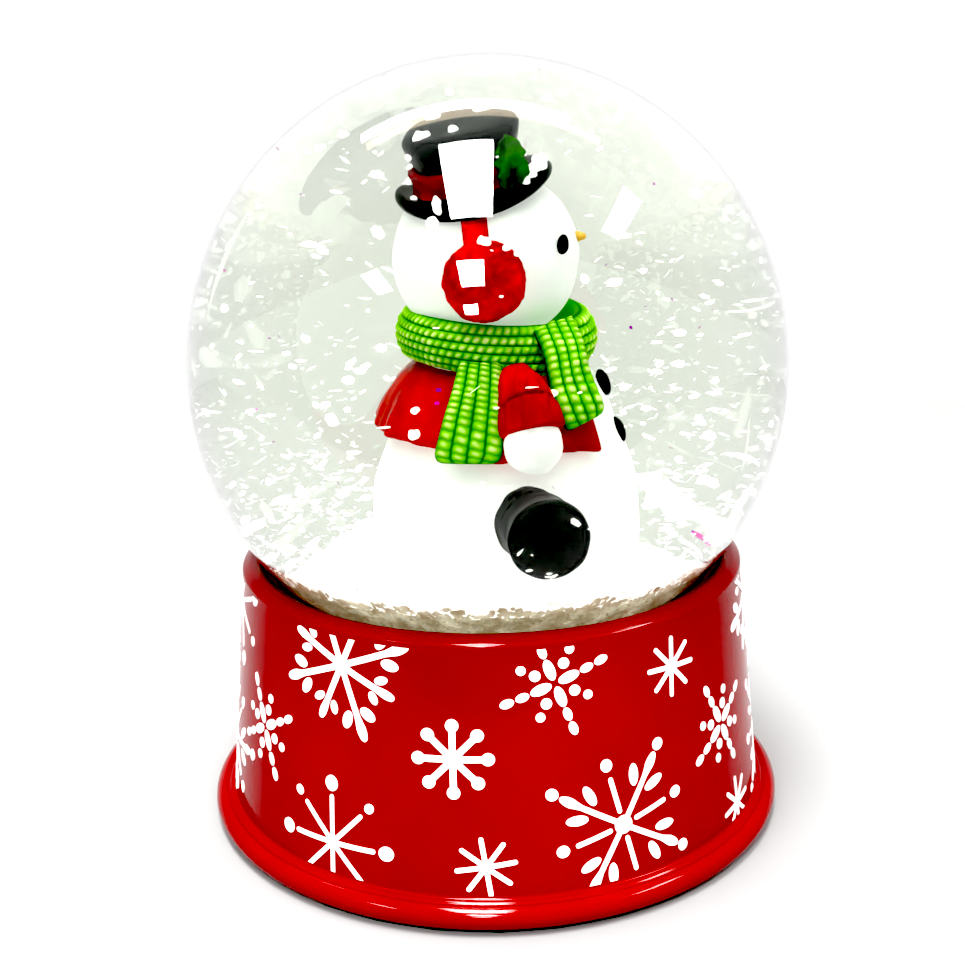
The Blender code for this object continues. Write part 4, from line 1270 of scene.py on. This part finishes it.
def build_floor():
    """A pale table top, whose near edge is just in front of the globe."""
    mesh = bpy.data.meshes.new("studio_floor")
    corners = [(-1, FLOOR_NEAR), (1, FLOOR_NEAR), (1, FLOOR_FAR), (-1, FLOOR_FAR)]
    mesh.from_pydata([(side * FLOOR_SIDE, y, 0) for side, y in corners], [], [(0, 1, 2, 3)])
    look = Look("pale_floor")
    look.colour(look.ramp(look.noise(6, detail=2), (0.3, (0.31, 0.31, 0.308)), (0.7, (0.32, 0.32, 0.32))))
    look.set(roughness=0.7, specular=0.2)
    mesh.materials.append(look.made)
    floor = bpy.data.objects.new("studio_floor", mesh)
    bpy.context.scene.collection.objects.link(floor)
    floor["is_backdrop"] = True


def panel(name, x, y, size, radiance, z=CEILING):
    """A square-cornered softbox, which looks straight down until it is turned."""
    lamp = bpy.data.lights.new(name, "AREA")
    lamp.shape = "RECTANGLE"
    lamp.size, lamp.size_y = size
    lamp.energy = radiance * pi * size[0] * size[1]
    obj = bpy.data.objects.new(name, lamp)
    obj.location = (x, y, z)
    bpy.context.scene.collection.objects.link(obj)
    return obj


def build_light():
    panel("ceiling_main", -0.08, -0.22, (0.26, 0.6), 26)
    panel("ceiling_second", -0.12, -1.1, (0.22, 0.35), 45)
    panel("ceiling_third", -0.18, -1.72, (0.17, 0.24), 40)
    panel("ceiling_left", -1.05, -0.98, (0.22, 0.37), 16)
    panel("ceiling_right", 0.92, -0.17, (0.2, 0.5), 16)
    panel("ceiling_strip", -0.1, 0.465, (1.0, 0.12), 7).rotation_euler = (0, 0, radians(-3))
    panel("ceiling_strip_board", 0, 0.355, (1.16, 0.09), 1.3).data.color = (1.0, 0.8, 0.55)
    fill = panel("front_fill", 0, -1.3, (1.6, 1.0), 1.3, 0.45)
    fill.rotation_euler = (radians(75), 0, 0)
    fill.visible_glossy = False
    fill.visible_transmission = False


def build_surroundings():
    """Plain light from all round, softer on the near side."""
    world = bpy.data.worlds.new("studio")
    bpy.context.scene.world = world
    world.use_nodes = True
    tree = world.node_tree
    place = tree.nodes.new("ShaderNodeTexCoord")
    split = tree.nodes.new("ShaderNodeSeparateXYZ")
    tree.links.new(place.outputs["Generated"], split.inputs[0])
    ramp = tree.nodes.new("ShaderNodeValToRGB")
    for element, (spot, grey) in zip(ramp.color_ramp.elements, ((0.2, 0.4), (0.55, 1.0))):
        element.position = spot
        element.color = (grey, grey, grey, 1)
    spread = tree.nodes.new("ShaderNodeMapRange")
    spread.inputs["From Min"].default_value = -1.0
    tree.links.new(split.outputs["Y"], spread.inputs["Value"])
    tree.links.new(spread.outputs["Result"], ramp.inputs["Fac"])
    tree.links.new(ramp.outputs["Color"], tree.nodes["Background"].inputs["Color"])
    tree.nodes["Background"].inputs["Strength"].default_value = 0.62


def build_camera():
    lens = bpy.data.cameras.new("camera")
    lens.lens = 55.88
    lens.sensor_width = 36.0
    lens.clip_start = 0.01
    camera = bpy.data.objects.new("camera", lens)
    heading = Matrix.Rotation(0.005, 4, "Z")
    pitch = Matrix.Rotation(pi / 2 - CAMERA_DOWN, 4, "X")
    roll = Matrix.Rotation(-0.021, 4, "Z")
    camera.matrix_world = Matrix.Translation(CAMERA_PLACE) @ heading @ pitch @ roll
    bpy.context.scene.collection.objects.link(camera)
    bpy.context.scene.camera = camera
    view = bpy.context.scene.view_settings
    view.view_transform = "Standard"
    view.look = "None"
    view.use_curve_mapping = True
    view.curve_mapping.black_level = (0.07, 0.07, 0.07)
    view.curve_mapping.white_level = (0.56, 0.56, 0.56)
    view.curve_mapping.update()


def write_size():
    boxes = {"cad": CAD_BOX, "visual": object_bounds()}
    sizes = {name: [list(corner) for corner in box] for name, box in boxes.items()}


BUILDERS = (
    build_camera, build_floor, build_light, build_surroundings, build_base, build_prints, build_glass,
    build_liquid, build_bed, build_floating, build_settled, build_glitter, build_body, build_head, build_hat,
    build_leaves, build_muffs, build_wrap, build_tails, build_cape, build_arms, build_boots, build_buttons,
    build_dusting, dress_frame,
)
for build in BUILDERS:
    build()
write_size()
